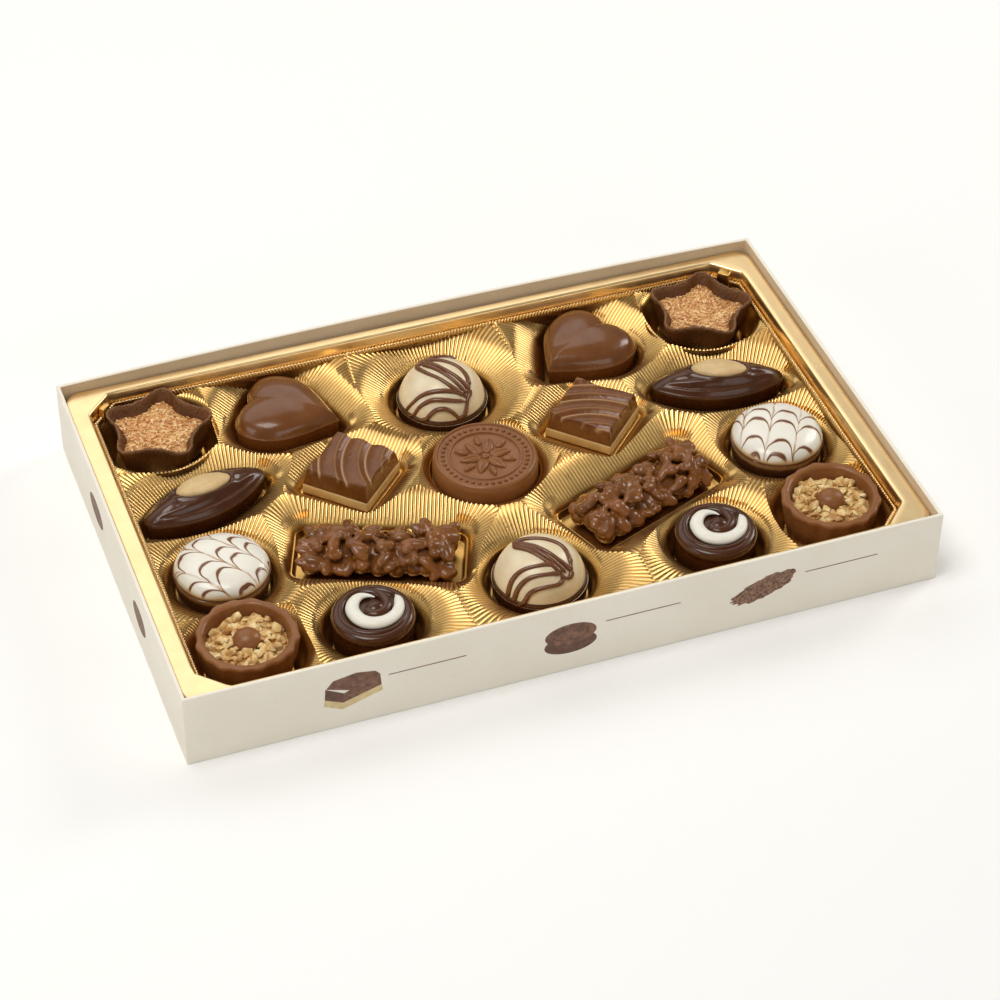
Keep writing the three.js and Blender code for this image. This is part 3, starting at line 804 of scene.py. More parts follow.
class Palette:
    """All the materials of the box."""

    def __init__(self) -> None:
        """Builds each material once."""
        self.gold = gold_material()
        self.paper = paper_material("paper", (0.83, 0.775, 0.66), (0.87, 0.82, 0.715))
        self.board = paper_material("board_inside", (0.56, 0.42, 0.26), (0.64, 0.5, 0.33))
        self.chocolate = {finish.name: finish.build() for finish in CHOCOLATES}
        self.cream = cream_material("hazelnut_cream", (0.5, 0.3, 0.095), (0.62, 0.4, 0.15), 0.45)
        self.ivory = cream_material("ivory", (0.7, 0.58, 0.37), (0.8, 0.69, 0.49), 0.28)
        self.white = cream_material("white", (0.74, 0.72, 0.62), (0.82, 0.8, 0.72), 0.4)
        self.crumb = crumb_material()
        self.nuts = nut_material("nuts", (0.46, 0.21, 0.06), (0.72, 0.47, 0.175), (0.87, 0.69, 0.37))
        self.almond = almond_material()
        self.round_base = base_material()
        self.icing = {
            "left": Feathering(-50, 0.72, 0.118, 0.0012, -5.7).build("icing_left"),
            "right": Feathering(-121, -0.24, 0.103, 0.0, -10.9).build("icing_right"),
        }
        self.print_brown = print_material("print_brown", (0.11, 0.045, 0.025), (0.24, 0.11, 0.06), 2.2)
        self.print_dark = print_material("print_dark", (0.09, 0.035, 0.02), (0.15, 0.065, 0.038), 3)
        self.print_cream = print_material("print_cream", (0.62, 0.47, 0.22), (0.72, 0.58, 0.32), 4)
        self.print_bar = print_material("print_bar", (0.06, 0.022, 0.012), (0.34, 0.18, 0.1), 1.1)


class Carton:
    """The shallow tray of folded board, whose back wall bows out."""

    FOLD = 0.38  # roundness of the folded edges
    SLICES = 48  # along the length, so that the back wall can bow
    SUNK = 0.05  # how deep a printed field reaches into its wall
    LIP = 0.3  # the height at the top of the walls that keeps the outer paper
    INWARD = 20  # how clearly an inner face looks at the middle

    def __init__(self, size: BoxSize, palette: Palette) -> None:
        """Keeps the sizes and materials."""
        self.size, self.palette = size, palette

    def build(self) -> None:
        """Makes the tray and its printed pictures."""
        size = self.size
        bm = bmesh.new()
        bmesh.ops.create_cube(bm, size=1)
        stretch = Matrix.Diagonal((size.length, size.width, size.height, 1))
        moved(bm, Matrix.Translation((0, 0, size.height / 2)) @ stretch)
        top = [f for f in bm.faces if f.normal.z > 0.9]
        bmesh.ops.inset_region(bm, faces=top, thickness=size.wall, use_even_offset=True)
        inner = bmesh.ops.extrude_face_region(bm, geom=top)
        bmesh.ops.translate(bm, verts=vertices_in(inner["geom"]), vec=(0, 0, size.base - size.height))
        bmesh.ops.delete(bm, geom=top, context="FACES_ONLY")
        sharp = [e for e in bm.edges if len(e.link_faces) == 2 and e.calc_face_angle(0) > 1]
        softened(bm, sharp, self.FOLD, clamp=True)
        for k in range(1, self.SLICES):
            bmesh.ops.bisect_plane(bm, geom=bm.verts[:] + bm.edges[:] + bm.faces[:], dist=1e-5,
                                   plane_co=(size.length * (k / self.SLICES - 0.5), 0, 0), plane_no=(1, 0, 0))
        for vert in bm.verts:
            if vert.co.y > 0:
                across = max(0.0, 1 - (2 * vert.co.x / size.length) ** 2)
                vert.co.y += size.bow * across * vert.co.z / size.height
        half = Vector((size.length / 2 - size.wall / 2, size.width / 2 - size.wall / 2))
        tray = shown("carton_tray", bm, Look(self.palette.paper, "paper", ("carton",)))
        tray.data.materials.append(self.palette.board)
        for face in tray.data.polygons:
            middle, facing = face.center / MM, face.normal
            inward = -(middle.x * facing.x + (middle.y - SHIFT_Y) * facing.y)
            inside = abs(middle.x) < half.x and abs(middle.y - SHIFT_Y) < half.y + size.bow
            upright = abs(facing.z) < 0.5
            if inward > self.INWARD and inside and upright and middle.z < size.height - self.LIP:
                face.material_index = 1
        self.pictures()

    def plate(self, name: str, points: Sequence[Pair], ink: bpy.types.Material, lift: float,
              face: str = "front") -> None:
        """A printed field on a wall.

        Args:
            name: the piece's name.
            points: its outline as (along the wall, height).
            ink: its material.
            lift: how far it stands proud of the paper.
            face: the wall, front or left.
        """
        front = face == "front"
        wall = (self.size.width if front else self.size.length) / 2
        bm = bmesh.new()
        verts = [bm.verts.new((along, self.SUNK - wall, z) if front else (self.SUNK - wall, along, z))
                 for along, z in points]
        grown = bmesh.ops.extrude_face_region(bm, geom=[bm.faces.new(verts)])
        out = -self.SUNK - lift
        bmesh.ops.translate(bm, verts=vertices_in(grown["geom"]), vec=(0, out, 0) if front else (out, 0, 0))
        bmesh.ops.recalc_face_normals(bm, faces=bm.faces[:])
        shown(name, bm, Look(ink, "paper"), smooth=20)

    def pictures(self) -> None:
        """Plain printed pictures of a layered block, a round one and a nut bar, without words."""
        inks = self.palette
        brown, dark = inks.print_brown, inks.print_dark
        x, z = -78.0, 15.5
        block = (
            ("top", brown, 0.03, ((-9, 3.2), (-0.5, 0.2), (9.6, 4.6), (8, 6.4), (1.4, 7.6), (-6.6, 6.2))),
            ("side", dark, 0.03, ((-9.3, 3.2), (-9.6, -1.6), (-3.4, -4.6), (-3, -0.4))),
            ("front", brown, 0.04, ((-3, -0.4), (-3.4, -4.6), (10, -0.4), (9.6, 4.6))),
            ("cream", inks.print_cream, 0.03,
             ((-9.6, -1.6), (-10, -4.4), (-3.6, -7.6), (10.4, -3), (10, -0.4), (-3.4, -4.6))),
        )
        for part, ink, lift, points in block:
            self.plate(f"print_block_{part}", [(x + a, z + b) for a, b in points], ink, lift)
        disc = (("low", 12.4, 9.4, 4.4, dark, 0.02), ("top", 16.6, 9.2, 4.6, brown, 0.03),
                ("ring", 16.8, 6.4, 3.0, dark, 0.04), ("inner", 16.8, 5.8, 2.6, brown, 0.05))
        for part, middle, wide, tall, ink, lift in disc:
            self.plate(f"print_disc_{part}", ellipse(-1.5, middle, wide, tall), ink, lift)
        rng = random.Random(5)
        line = []
        for a in np.linspace(0, TURN, 46)[:-1]:
            along, across = 12.5 * math.cos(a), 4.2 * math.sin(a)
            bumpy = 1 + rng.uniform(-0.09, 0.09)
            line.append((68.5 + bumpy * (along * 0.93 - across * 0.3), 16 + bumpy * (along * 0.3 + across)))
        self.plate("print_nut_bar", line, inks.print_bar, 0.03)
        for k, start in enumerate((-65.5, 11, 84)):
            end = start + 27
            rule = [(start, 18.4), (end, 18.4), (end, 18.8), (start, 18.8)]
            self.plate(f"print_rule_{k}", rule, brown, 0.02)
        for k, (y, wide) in enumerate(((30, 9), (-28, 8))):
            self.plate(f"print_left_{k}", ellipse(y, 15, wide, 5), brown, 0.03, face="left")


@dataclass(frozen=True)
class Pocket:
    """A smooth well with a ribbed slope round it."""

    well: Outline
    floor: float
    rim: float
    lean: float
    reach: float

    def slope(self, top: float) -> float:
        """Rise of the ribbed slope for each millimetre out from the rim."""
        return (top - self.rim) / self.reach


POCKETS = {
    Kind.STAR: Pocket(circle_outline(16.8), 7.2, 19.3, 4.3, 1.6),
    Kind.HEART: Pocket(hull_outline([(-5.8, -5.6, 12.9), (15.6, 0, 3.4), (-5.8, 5.6, 12.9)]), 7, 13, 1, 10.5),
    Kind.DOME: Pocket(circle_outline(17.7), 4.5, 12.5, 1.2, 12.1),
    Kind.OVAL: Pocket(pointed_outline(50.3, 22.4, 3.4), 7, 13, 1.2, 10.5),
    Kind.SQUARE: Pocket(box_outline(27.4, 27.4, 2.2), 13.5, 14.6, 0.5, 9.2),
    Kind.MEDAL: Pocket(circle_outline(19.6), 13, 17, 0.5, 4.3),
    Kind.ROUND: Pocket(circle_outline(17), 7, 13, 1, 11.5),
    Kind.BAR: Pocket(box_outline(59, 25.1, 3.5), 8, 12.2, 0.9, 12),
    Kind.CUP: Pocket(circle_outline(16), 5.2, 17, 3.4, 4),
    Kind.SWIRL: Pocket(circle_outline(14.9), 1.9, 14, 1.8, 10),
}


class Insert:
    """The gold sheet: wells, ribbed slopes that meet in ridges, and the frame round the field."""

    RIB = 1.34  # from one rib's crest to the next
    RELIEF = 0.28  # from a slope's middle height to a crest
    SAMPLES = 4  # points across a rib
    CELL = 1.5  # of the grid that holds each slope's height
    STEP = 0.2  # along a ray that looks for the slope's end
    FAR = 60  # longer than any slope
    BEAD = 1.25  # from one bead to the next
    # how strongly the rib crests get a painted highlight and the rib hollows painted shade
    CREST_HIGHLIGHT = 0.62
    HOLLOW_SHADE = 0.75

    def __init__(self, size: BoxSize, palette: Palette) -> None:
        """Keeps the sizes and lays out each pocket's slope over the field."""
        self.size, self.palette = size, palette
        xs = np.arange(-size.field_x - 4, size.field_x + 4, self.CELL)
        ys = np.arange(-size.field_y - 4, size.field_y + 4, self.CELL)
        self.origin = np.array([xs[0], ys[0]])
        grid = np.stack(np.meshgrid(xs, ys, indexing="ij"), axis=-1)
        self.heights = np.stack([self.slope_height(place, grid) for place in PLACES])

    def slope_height(self, place: Place, grid: np.ndarray) -> np.ndarray:
        """Height of a pocket's slope, without its upper limit, at points of the field."""
        pocket = POCKETS[place.kind]
        points, normals = pocket.well.sampled(240, 0)
        edge = rotated(points + pocket.lean * normals, place.turn) + (place.x, place.y)
        out = rotated(normals, place.turn)
        flat = grid.reshape(-1, 2)
        away = np.empty(len(flat))
        for start in range(0, len(flat), 4000):
            gap = flat[start:start + 4000, None, :] - edge[None]
            far = np.einsum("ijk,ijk->ij", gap, gap)
            near = far.argmin(axis=1)
            rows = np.arange(len(near))
            sign = np.sign(np.einsum("ij,ij->i", gap[rows, near], out[near]))
            away[start:start + 4000] = np.sqrt(far[rows, near]) * sign
        return (pocket.rim + pocket.slope(self.size.field_top) * away).reshape(grid.shape[:2])

    def others_height(self, index: int, points: np.ndarray) -> np.ndarray:
        """The lowest slope of all the other pockets at some points."""
        field = np.delete(self.heights, index, axis=0).min(axis=0)
        cell = (points - self.origin) / self.CELL
        low = np.clip(np.floor(cell).astype(int), 0, np.array(field.shape) - 2)
        fx, fy = np.moveaxis(np.clip(cell - low, 0, 1), -1, 0)
        x, y = np.moveaxis(low, -1, 0)
        near = field[x, y] * (1 - fx) + field[x + 1, y] * fx
        far = field[x, y + 1] * (1 - fx) + field[x + 1, y + 1] * fx
        return near * (1 - fy) + far * fy

    def beyond_field(self, points: np.ndarray) -> np.ndarray:
        """How far outside the field points are; negative inside."""
        size = self.size
        x, y = np.abs(points[..., 0]), np.abs(points[..., 1])
        corner = (x + y - size.field_x - size.field_y + size.chamfer) / math.sqrt(2)
        return np.maximum(np.maximum(x - size.field_x, y - size.field_y), corner)

    def reach(self, index: int, rim: np.ndarray, out: np.ndarray) -> np.ndarray:
        """How far each ray of a pocket runs before it meets a neighbour's slope or the field's edge."""
        pocket = POCKETS[PLACES[index].kind]
        slope = pocket.slope(self.size.field_top)
        steps = np.arange(0, self.FAR, self.STEP)
        line = rim[:, None] + steps[None, :, None] * out[:, None]
        margin = np.minimum(self.others_height(index, line) - (pocket.rim + slope * steps),
                            -slope * self.beyond_field(line))
        last = np.maximum((margin < 0).argmax(axis=1), 1)
        rays = np.arange(len(rim))
        before, after = margin[rays, last - 1], margin[rays, last]
        return np.clip(self.STEP * (last - 1 + before / (before - after + 1e-9)), 0.15, self.FAR)

    def patch(self, index: int) -> bmesh.types.BMesh:
        """One pocket with its ribbed slope out to its neighbours or the field's edge."""
        place, top = PLACES[index], self.size.field_top
        pocket = POCKETS[place.kind]
        count = round(pocket.well.length(pocket.lean + 6) / self.RIB) * self.SAMPLES
        points, normals = pocket.well.sampled(count, pocket.lean + 6)
        centre = np.array([place.x, place.y])
        out = rotated(normals, place.turn)
        rim = rotated(points, place.turn) + pocket.lean * out + centre
        reach = self.reach(index, rim, out)
        wave = np.cos(TURN * np.arange(count) / self.SAMPLES)
        middle = np.concatenate([centre, [pocket.floor]])
        rows, shades = [np.broadcast_to(middle, (count, 3))], [np.zeros(count)]

        def add(away: Number, height: Number, shade: Number = 0) -> None:
            """Adds a ring of points that lie some way out from the rim."""
            flat = rim + np.broadcast_to(away, count)[:, None] * out
            rows.append(at_height(flat, height))
            shades.append(np.broadcast_to(shade, count))

        inner = pocket.floor + np.array([0, 0, 0.15, 0.8, 3])
        for inset, z in zip((3.5, 1.1, 0.3, 0, -0.25 * pocket.lean), np.minimum(inner, pocket.rim - 1.1)):
            add(-(pocket.lean + inset), z)
        add(-0.25, pocket.rim - 1.3)
        for share in np.linspace(0, 1, 17)[1:] ** 1.2:
            away = reach * share
            plain = pocket.rim + pocket.slope(top) * away
            later = top - 0.9 + 0.24 * (plain - top + 0.9)
            over = 0.5 * (plain + later - np.sqrt((plain - later) ** 2 + 1.4))
            over += 0.42 * np.exp(-away / 3) - 0.95 * np.exp(-away / 1.1)
            rib = eased(away, 0.5, 2.6) * wave
            # the rib crests get a painted highlight and the hollows painted shade
            add(away, over + self.RELIEF * rib, np.where(rib > 0, self.CREST_HIGHLIGHT, self.HOLLOW_SHADE) * rib)
        add(reach + 0.35, rows[-1][:, 2] - 1.3, shades[-1])
        table, painted_light = np.stack(rows), np.stack(shades)
        picked = np.zeros(0)

        def rule(u: np.ndarray, v: np.ndarray) -> np.ndarray:
            """Looks up the ring and the ray of each point."""
            nonlocal picked
            row, column = np.rint(v * (len(table) - 1)).astype(int), np.rint(u * count).astype(int) % count
            picked = painted_light[row, column]
            return table[row, column]

        bm = bent_grid(count, len(table) - 1, rule, weld=False)
        painted(bm, picked)
        bmesh.ops.remove_doubles(bm, verts=bm.verts[:], dist=1e-4)
        return facing_up(bm)

    def field_corners(self, inset: float = 0) -> np.ndarray:
        """The eight corners of the field, anticlockwise from the right one at the back."""
        size = self.size
        x, y, c = size.field_x - inset, size.field_y - inset, size.chamfer
        back = np.array([(x, y - c), (x - c, y), (c - x, y), (-x, y - c)], float)
        return np.concatenate([back, -back])

    def frame(self) -> bmesh.types.BMesh:
        """The step up from the field and the flat frame that lies round it."""
        size = self.size
        half = np.array([size.length / 2, size.width / 2]) - size.wall - size.flange_gap
        bend = size.flange_corner
        corners = self.field_corners()
        field, outer, normals = [], [], []
        for k, (a, b) in enumerate(zip(corners, np.roll(corners, -1, axis=0))):
            is_corner = k % 2 == 0
            out = np.array([b[1] - a[1], a[0] - b[0]]) / np.linalg.norm(b - a)
            ends = np.array([size.field_x, size.field_y]) - size.chamfer * (np.abs(out[::-1]) > 0.5)
            for t in np.linspace(0, 1, 13 if is_corner else 49)[:-1]:
                point = a + (b - a) * t
                field.append(point)
                normals.append(out)
                if is_corner:
                    turn = math.atan2(*np.sign(a)[::-1]) - math.pi / 4 + t * math.pi / 2
                    around = np.array([math.cos(turn), math.sin(turn)])
                    outer.append(np.sign((a + b) / 2) * (half - bend) + bend * around)
                else:
                    straight = (half - bend) * point / ends
                    outer.append(np.where(np.abs(out) > 0.5, np.sign(out) * half, straight))
        field, outer, normals = np.array(field), np.array(outer), np.array(normals)
        top = size.flange_top
        step = ((-0.15, 11), (-0.05, 18), (0.5, top - 1.2))
        rows = [(field + away * normals, z) for away, z in step]
        for angle in np.linspace(0, math.pi / 2, 6):
            away = 0.55 + 1.1 * (1 - math.cos(angle))
            rows.append((field + away * normals, top - 1.1 + 1.1 * math.sin(angle)))
        inner = field + 1.8 * normals
        rows += [(inner + (outer - inner) * share * 0.96, top) for share in np.linspace(0, 1, 8)[1:-1]]
        away = (outer - field) / np.linalg.norm(outer - field, axis=1, keepdims=True)
        edge = ((0.5, 0), (0.12, 0.15), (0, 0.55), (0, 2.2))
        rows += [(outer - inset * away, top - drop) for inset, drop in edge]
        bm = lofted(np.stack([at_height(flat, z) for flat, z in rows]), cap_start=False, cap_end=False)
        # the flat top of the frame gets a strong painted highlight and the step a weaker one, standing in for
        # their bright reflections
        return facing_up(painted(bm, np.where(points_of(bm)[:, 2] > top - 0.3, 0.95, 0.45)))

    def beading(self) -> bmesh.types.BMesh:
        """The line of small beads pressed along the foot of the step."""
        foot = self.size.field_top
        corners = self.field_corners(0.5)
        corners = np.concatenate([corners, corners[:1]])
        along = distances(corners)
        beads = round(along[-1] / self.BEAD)
        line = spaced(corners, along, np.linspace(0, along[-1], 6 * beads, endpoint=False))
        swell = 0.5 + 0.5 * np.cos(TURN * np.arange(len(line)) / 6)
        inward = -line / np.linalg.norm(line, axis=1, keepdims=True)
        section = ((-0.6, 0.2, 0), (0, 0.85, 0.5), (0.4, 0.95, 0.8), (0.9, 0.55, 0.6), (1.2, -0.6, 0))
        rows = []
        for away, height, share in section:
            flat = line + inward * (away + 0.2 * swell[:, None])
            rows.append(at_height(flat, foot + height + share * (swell - 0.5)))
        bm = lofted(np.stack(rows), cap_start=False, cap_end=False)
        # the bead tops get a painted highlight and their feet painted shade
        return facing_up(painted(bm, np.clip(2.6 * (points_of(bm)[:, 2] - foot - 0.55), -0.5, 1)))

    def dents(self) -> bmesh.types.BMesh:
        """The small folded boxes pressed into the two rear corners of the step."""
        size = self.size
        parts = []
        for side, (length, depth) in ((-1, (4.6, 2.6)), (1, (5.4, 4.4))):
            bm = bmesh.new()
            bmesh.ops.create_cube(bm, size=1)
            for vert in bm.verts:
                lean = 1 if vert.co.z < 0 else 0.82
                vert.co = (vert.co.x * length * lean, vert.co.y * depth * lean,
                           size.flange_top - 0.5 if vert.co.z > 0 else size.field_top - 1.5)
            inset = size.chamfer / 2 + 0.9
            turn = Matrix.Rotation(-side * math.pi / 4, 4, "Z")
            spot = Matrix.Translation((side * (size.field_x - inset), size.field_y - inset, 0))
            parts.append(moved(softened(bm, bm.edges[:], 0.3), spot @ turn))
        return merged(parts)

    def build(self) -> None:
        """Makes the sheet's pieces."""
        look = Look(self.palette.gold, "gold", ("insert",))
        shown("insert_dents", self.dents(), look, smooth=60)
        shown("insert_beading", self.beading(), look, smooth=80)
        flange = shown("insert_frame", self.frame(), look, smooth=60)
        modifier = flange.modifiers.new("thickness", "SOLIDIFY")
        modifier.thickness, modifier.offset = 0.3 * MM, -1
        groups = [range(0, 5), range(5, 10), range(10, 15), range(15, 19)]
        for number, group in enumerate(groups):
            bm = merged([self.patch(index) for index in group])
            LOG.info("insert part %d: %d faces", number, len(bm.faces))
            shown(f"insert_pockets_{number}", bm, look, smooth=75)


@dataclass
class Praline:
    """Common sizes of a praline: where it lies and how high its underside is."""

    place: Place
    palette: Palette
    CLEARANCE: ClassVar[float] = 0.3

    @property
    def bottom(self) -> float:
        """Height of the underside, just over the pocket's floor."""
        return POCKETS[self.place.kind].floor + self.CLEARANCE

    def show(self, part: str, bm: bmesh.types.BMesh, material: bpy.types.Material, slot: str,
             replaces: bool = True, smooth: float = 40) -> bpy.types.Object:
        """Places one part of the praline; it stands for the node of the same name."""
        name = f"{self.place.name}_{part}" if part else self.place.name
        look = Look(material, slot, (name,) if replaces else ())
        return shown(f"{name}_look", bm, look, self.place, smooth)

    def build(self) -> None:
        """Makes the praline."""
        raise NotImplementedError


def ring_angles(count: int) -> np.ndarray:
    """Evenly spaced angles round a turn."""
    return np.linspace(0, TURN, count, endpoint=False)


def levels(outline: np.ndarray, steps: Sequence[tuple[float, float]]) -> np.ndarray:
    """Rings of an outline scaled by each step's share, at its height."""
    return np.stack([at_height(outline * share, z) for share, z in steps])


@dataclass
class Star(Praline):
    """A star-shaped cup with a rough rim and a filling of caramel crumb."""

    point: float = 19.9
    valley: float = 14.9
    sharpness: float = 1.75
    rim: float = 24.4
    filling: float = 20.4
    grains: int = 620

    def outline(self, inset: float, count: int = 200) -> np.ndarray:
        """The star's points, moved inwards."""
        angle = ring_angles(count)
        wave = (0.5 + 0.5 * np.cos(5 * angle)) ** self.sharpness
        return round_points(self.valley - inset + (self.point - self.valley) * wave, angle)

    def shell(self) -> bmesh.types.BMesh:
        """The cup: its wall up to a round rim and down again behind the filling."""
        low, round_off = self.bottom, 0.5
        rows = [(0, 0.74, low), (0, 0.76, low + 0.5), (0, 0.82, 12), (0, 0.885, 16.5), (0, 0.955, 21),
                (0, 0.985, 22.6), (0, 0.998, 23.5)]
        for a in np.linspace(0.2, 2.9, 8):
            rows.append((round_off * (1 - math.cos(a)), 1, self.rim - round_off * (1 - math.sin(a))))
        rows += [(1.2, 1, 23.4), (1.5, 0.98, 22.2), (2, 0.955, 21), (2.6, 0.92, 19)]
        shell = lofted(np.stack([at_height(self.outline(inset) * share, z) for inset, share, z in rows]),
                       cap_end=False)
        high = [e for e in shell.edges if min(v.co.z for v in e.verts) > self.filling - 0.2]
        bmesh.ops.subdivide_edges(shell, edges=high, cuts=1, use_grid_fill=True)
        rough = [v for v in shell.verts if v.co.z > self.filling]
        shell.normal_update()
        seed = Vector((self.place.x, 0, 0))
        moves = [noise.fractal(v.co / 0.8 + seed, 0.7, 2.1, 3) * 0.34 * v.normal for v in rough]
        for vert, move in zip(rough, moves):
            vert.co += move
        return painted(shell, 0.24 * eased(points_of(shell)[:, 2], 22, 24.3))

    def crumbs(self) -> bmesh.types.BMesh:
        """The loose grains on the bed of crumb."""
        rng = random.Random(int(self.place.x))
        grains = []
        while len(grains) < self.grains:
            a, r = rng.uniform(0, TURN), math.sqrt(rng.random()) * self.point
            wave = (0.5 + 0.5 * math.cos(5 * a)) ** self.sharpness
            if r > self.valley - 3.4 + (self.point - self.valley) * wave:
                continue
            radius = rng.uniform(0.3, 0.62)
            sizes = (rng.uniform(0.8, 1.5), rng.uniform(0.7, 1.1), rng.uniform(0.5, 0.9))
            stretch = Matrix.Diagonal((*sizes, 1))
            turn = tumbled(rng, 0.6)
            height = self.filling + rng.uniform(-0.1, 0.15)
            spot = Matrix.Translation((r * math.cos(a), r * math.sin(a), height))
            grains.append(ball(1, radius, spot @ turn @ stretch))
        return merged(grains)

    def build(self) -> None:
        """Makes the shell, the crumb bed and the loose grains on it."""
        self.show("shell", self.shell(), self.palette.chocolate["rough_rim"], "dark_chocolate", smooth=60)
        steps = [(0.97, 18.8), (1, self.filling - 0.7), (0.96, self.filling - 0.3)]
        steps += [(share, self.filling) for share in (0.8, 0.6, 0.4, 0.2)]
        bed = ruffled(lofted(levels(self.outline(2) * 0.96, steps), cap_start=False), 0.3, 1.2, self.place.x)
        self.show("filling", bed, self.palette.crumb, "crumb")
        self.show("grains", self.crumbs(), self.palette.crumb, "crumb", replaces=False, smooth=30)


@dataclass
class Heart(Praline):
    """A domed heart with a crisp edge round its lower side."""

    length: float = 36.5
    width: float = 35.2

    def outline(self, count: int = 90) -> np.ndarray:
        """The heart's points, its notch at -X."""
        half = np.array([self.length, self.width]) / 2
        t = np.linspace(0, 1, 400)[:, None]

        def bezier(*knots: Pair) -> np.ndarray:
            """A curve from the first of four knots to the last, in shares of the half sizes."""
            a, b, c, d = (np.array(knot) * half for knot in knots)
            return a * (1 - t) ** 3 + 3 * b * t * (1 - t) ** 2 + 3 * c * t**2 * (1 - t) + d * t**3

        lobe = bezier((-0.84, 0), (-1.02, 0.14), (-1.2, 1), (-0.36, 1))
        flank = bezier((-0.36, 1), (0.16, 1), (0.6, 0.44), (1, 0))
        line = np.concatenate([lobe, flank[1:]])
        along = distances(line)
        upper = spaced(line, along, np.linspace(0, along[-1], count))
        lower = upper[1:-1][::-1] * (1, -1)
        return np.concatenate([upper, lower])[::-1]

    def build(self) -> None:
        """Makes the heart."""
        knots = [(0.93, self.bottom), (0.955, 9), (0.975, 12), (0.99, 15), (1, 16.3), (0.998, 16.7),
                 (0.975, 17.1), (0.945, 18.2), (0.88, 19.9), (0.77, 21.3), (0.6, 22.3), (0.4, 22.9),
                 (0.2, 23.15), (0.05, 23.2)]
        rows = smooth_line(knots, 60)
        middle = np.array([-2.5, 0, 0])
        pull = np.clip(1 - rows[:, 0], 0, 1)[:, None, None]
        heart = lofted(levels(self.outline(), rows) + pull * middle)
        smoothed(heart, 18.6, 1)
        x, y, z = points_of(heart).T
        crease = np.exp(-((y + 0.25 * x + 0.02 * x * x) / 3.4) ** 2) * (0.4 + 0.6 * eased(x, -12, 8))
        for vert, drop in zip(heart.verts, 0.5 * eased(z, 17.5, 21) * crease):
            vert.co.z -= drop
        self.show("", heart, self.palette.chocolate["milk"], "milk_chocolate")


DRIZZLE_BACK = (
    ((-5.4, 7.2), (-5.2, 8.8), (-2.6, 9.6), (1.5, 10.4), (5.2, 9.8), (8, 8.2)),
    ((-5.2, 8.6), (-3.2, 8.4), (0.4, 6.2), (4, 2.8), (6.8, -1), (8, -5.4), (7.2, -9.4)),
    ((-4.6, 8.2), (-1.9, 3.4), (1.3, -1.7), (4.2, -5.5), (6.3, -8.3), (7.1, -9.8)),
    ((-5.6, 7.2), (-3.6, 3.1), (-0.6, -2.1), (2.3, -6.6), (4.4, -9.5), (5.6, -10.9)),
    ((-5, 8), (-7.3, 6.2), (-5.9, 0.6), (-2.8, -4.1), (0, -7.8), (2.5, -10.3), (5.4, -11.9)),
    ((7.2, -9.4), (6.8, -11), (5.6, -12.4), (4.4, -14.2), (2.9, -15.6)),
    ((4.9, -12.1), (2.4, -10.9), (-1.4, -9.7), (-5.8, -8.3), (-9.8, -7), (-13.4, -5.8), (-16.2, -3.4)),
    ((5, -13), (0.8, -12.9), (-3.3, -11.9), (-7.2, -10.3), (-11.1, -9), (-14.4, -7.6), (-16.4, -5)),
    ((3.6, -14.8), (1.4, -15.6), (-0.6, -15), (-3.2, -13.9), (-6.4, -12.9), (-10.2, -12), (-13.4, -10.4)),
)
DRIZZLE_FRONT = (
    ((-5.8, 7), (-5.2, 8.4), (-3.4, 8.1), (-0.3, 6.2), (4.3, 2.9), (7.4, -0.9), (7.9, -5.5), (6.5, -10.6)),
    ((-5.2, 7.6), (-3.4, 4), (-0.8, 0.3), (2.7, -5.8), (4.9, -9), (6.1, -11)),
    ((-5.9, 7), (-4.4, 3.8), (-2.5, 0.4), (0.3, -5.4), (2.7, -9.2), (3.6, -11.2)),
    ((-5.6, 7.6), (-6.3, 5.6), (-4.1, 0.6), (-1.8, -4.4), (0.7, -8.8), (2.3, -11.8)),
    ((6.5, -10.6), (5, -12.2), (2.9, -12.4), (1.6, -11.6)),
    ((1.6, -8.4), (-1.4, -7.2), (-4.2, -6.4), (-9.1, -4.6), (-13, -4.2), (-16, -5.6)),
    ((2, -11.3), (-0.8, -10.6), (-3.7, -9.8), (-8.8, -8), (-12.6, -7.4), (-15.8, -8)),
    ((2.6, -12.3), (-0.2, -13.4), (-4.8, -12.6), (-9.4, -11), (-12.6, -10.4), (-14.8, -9.6)),
)


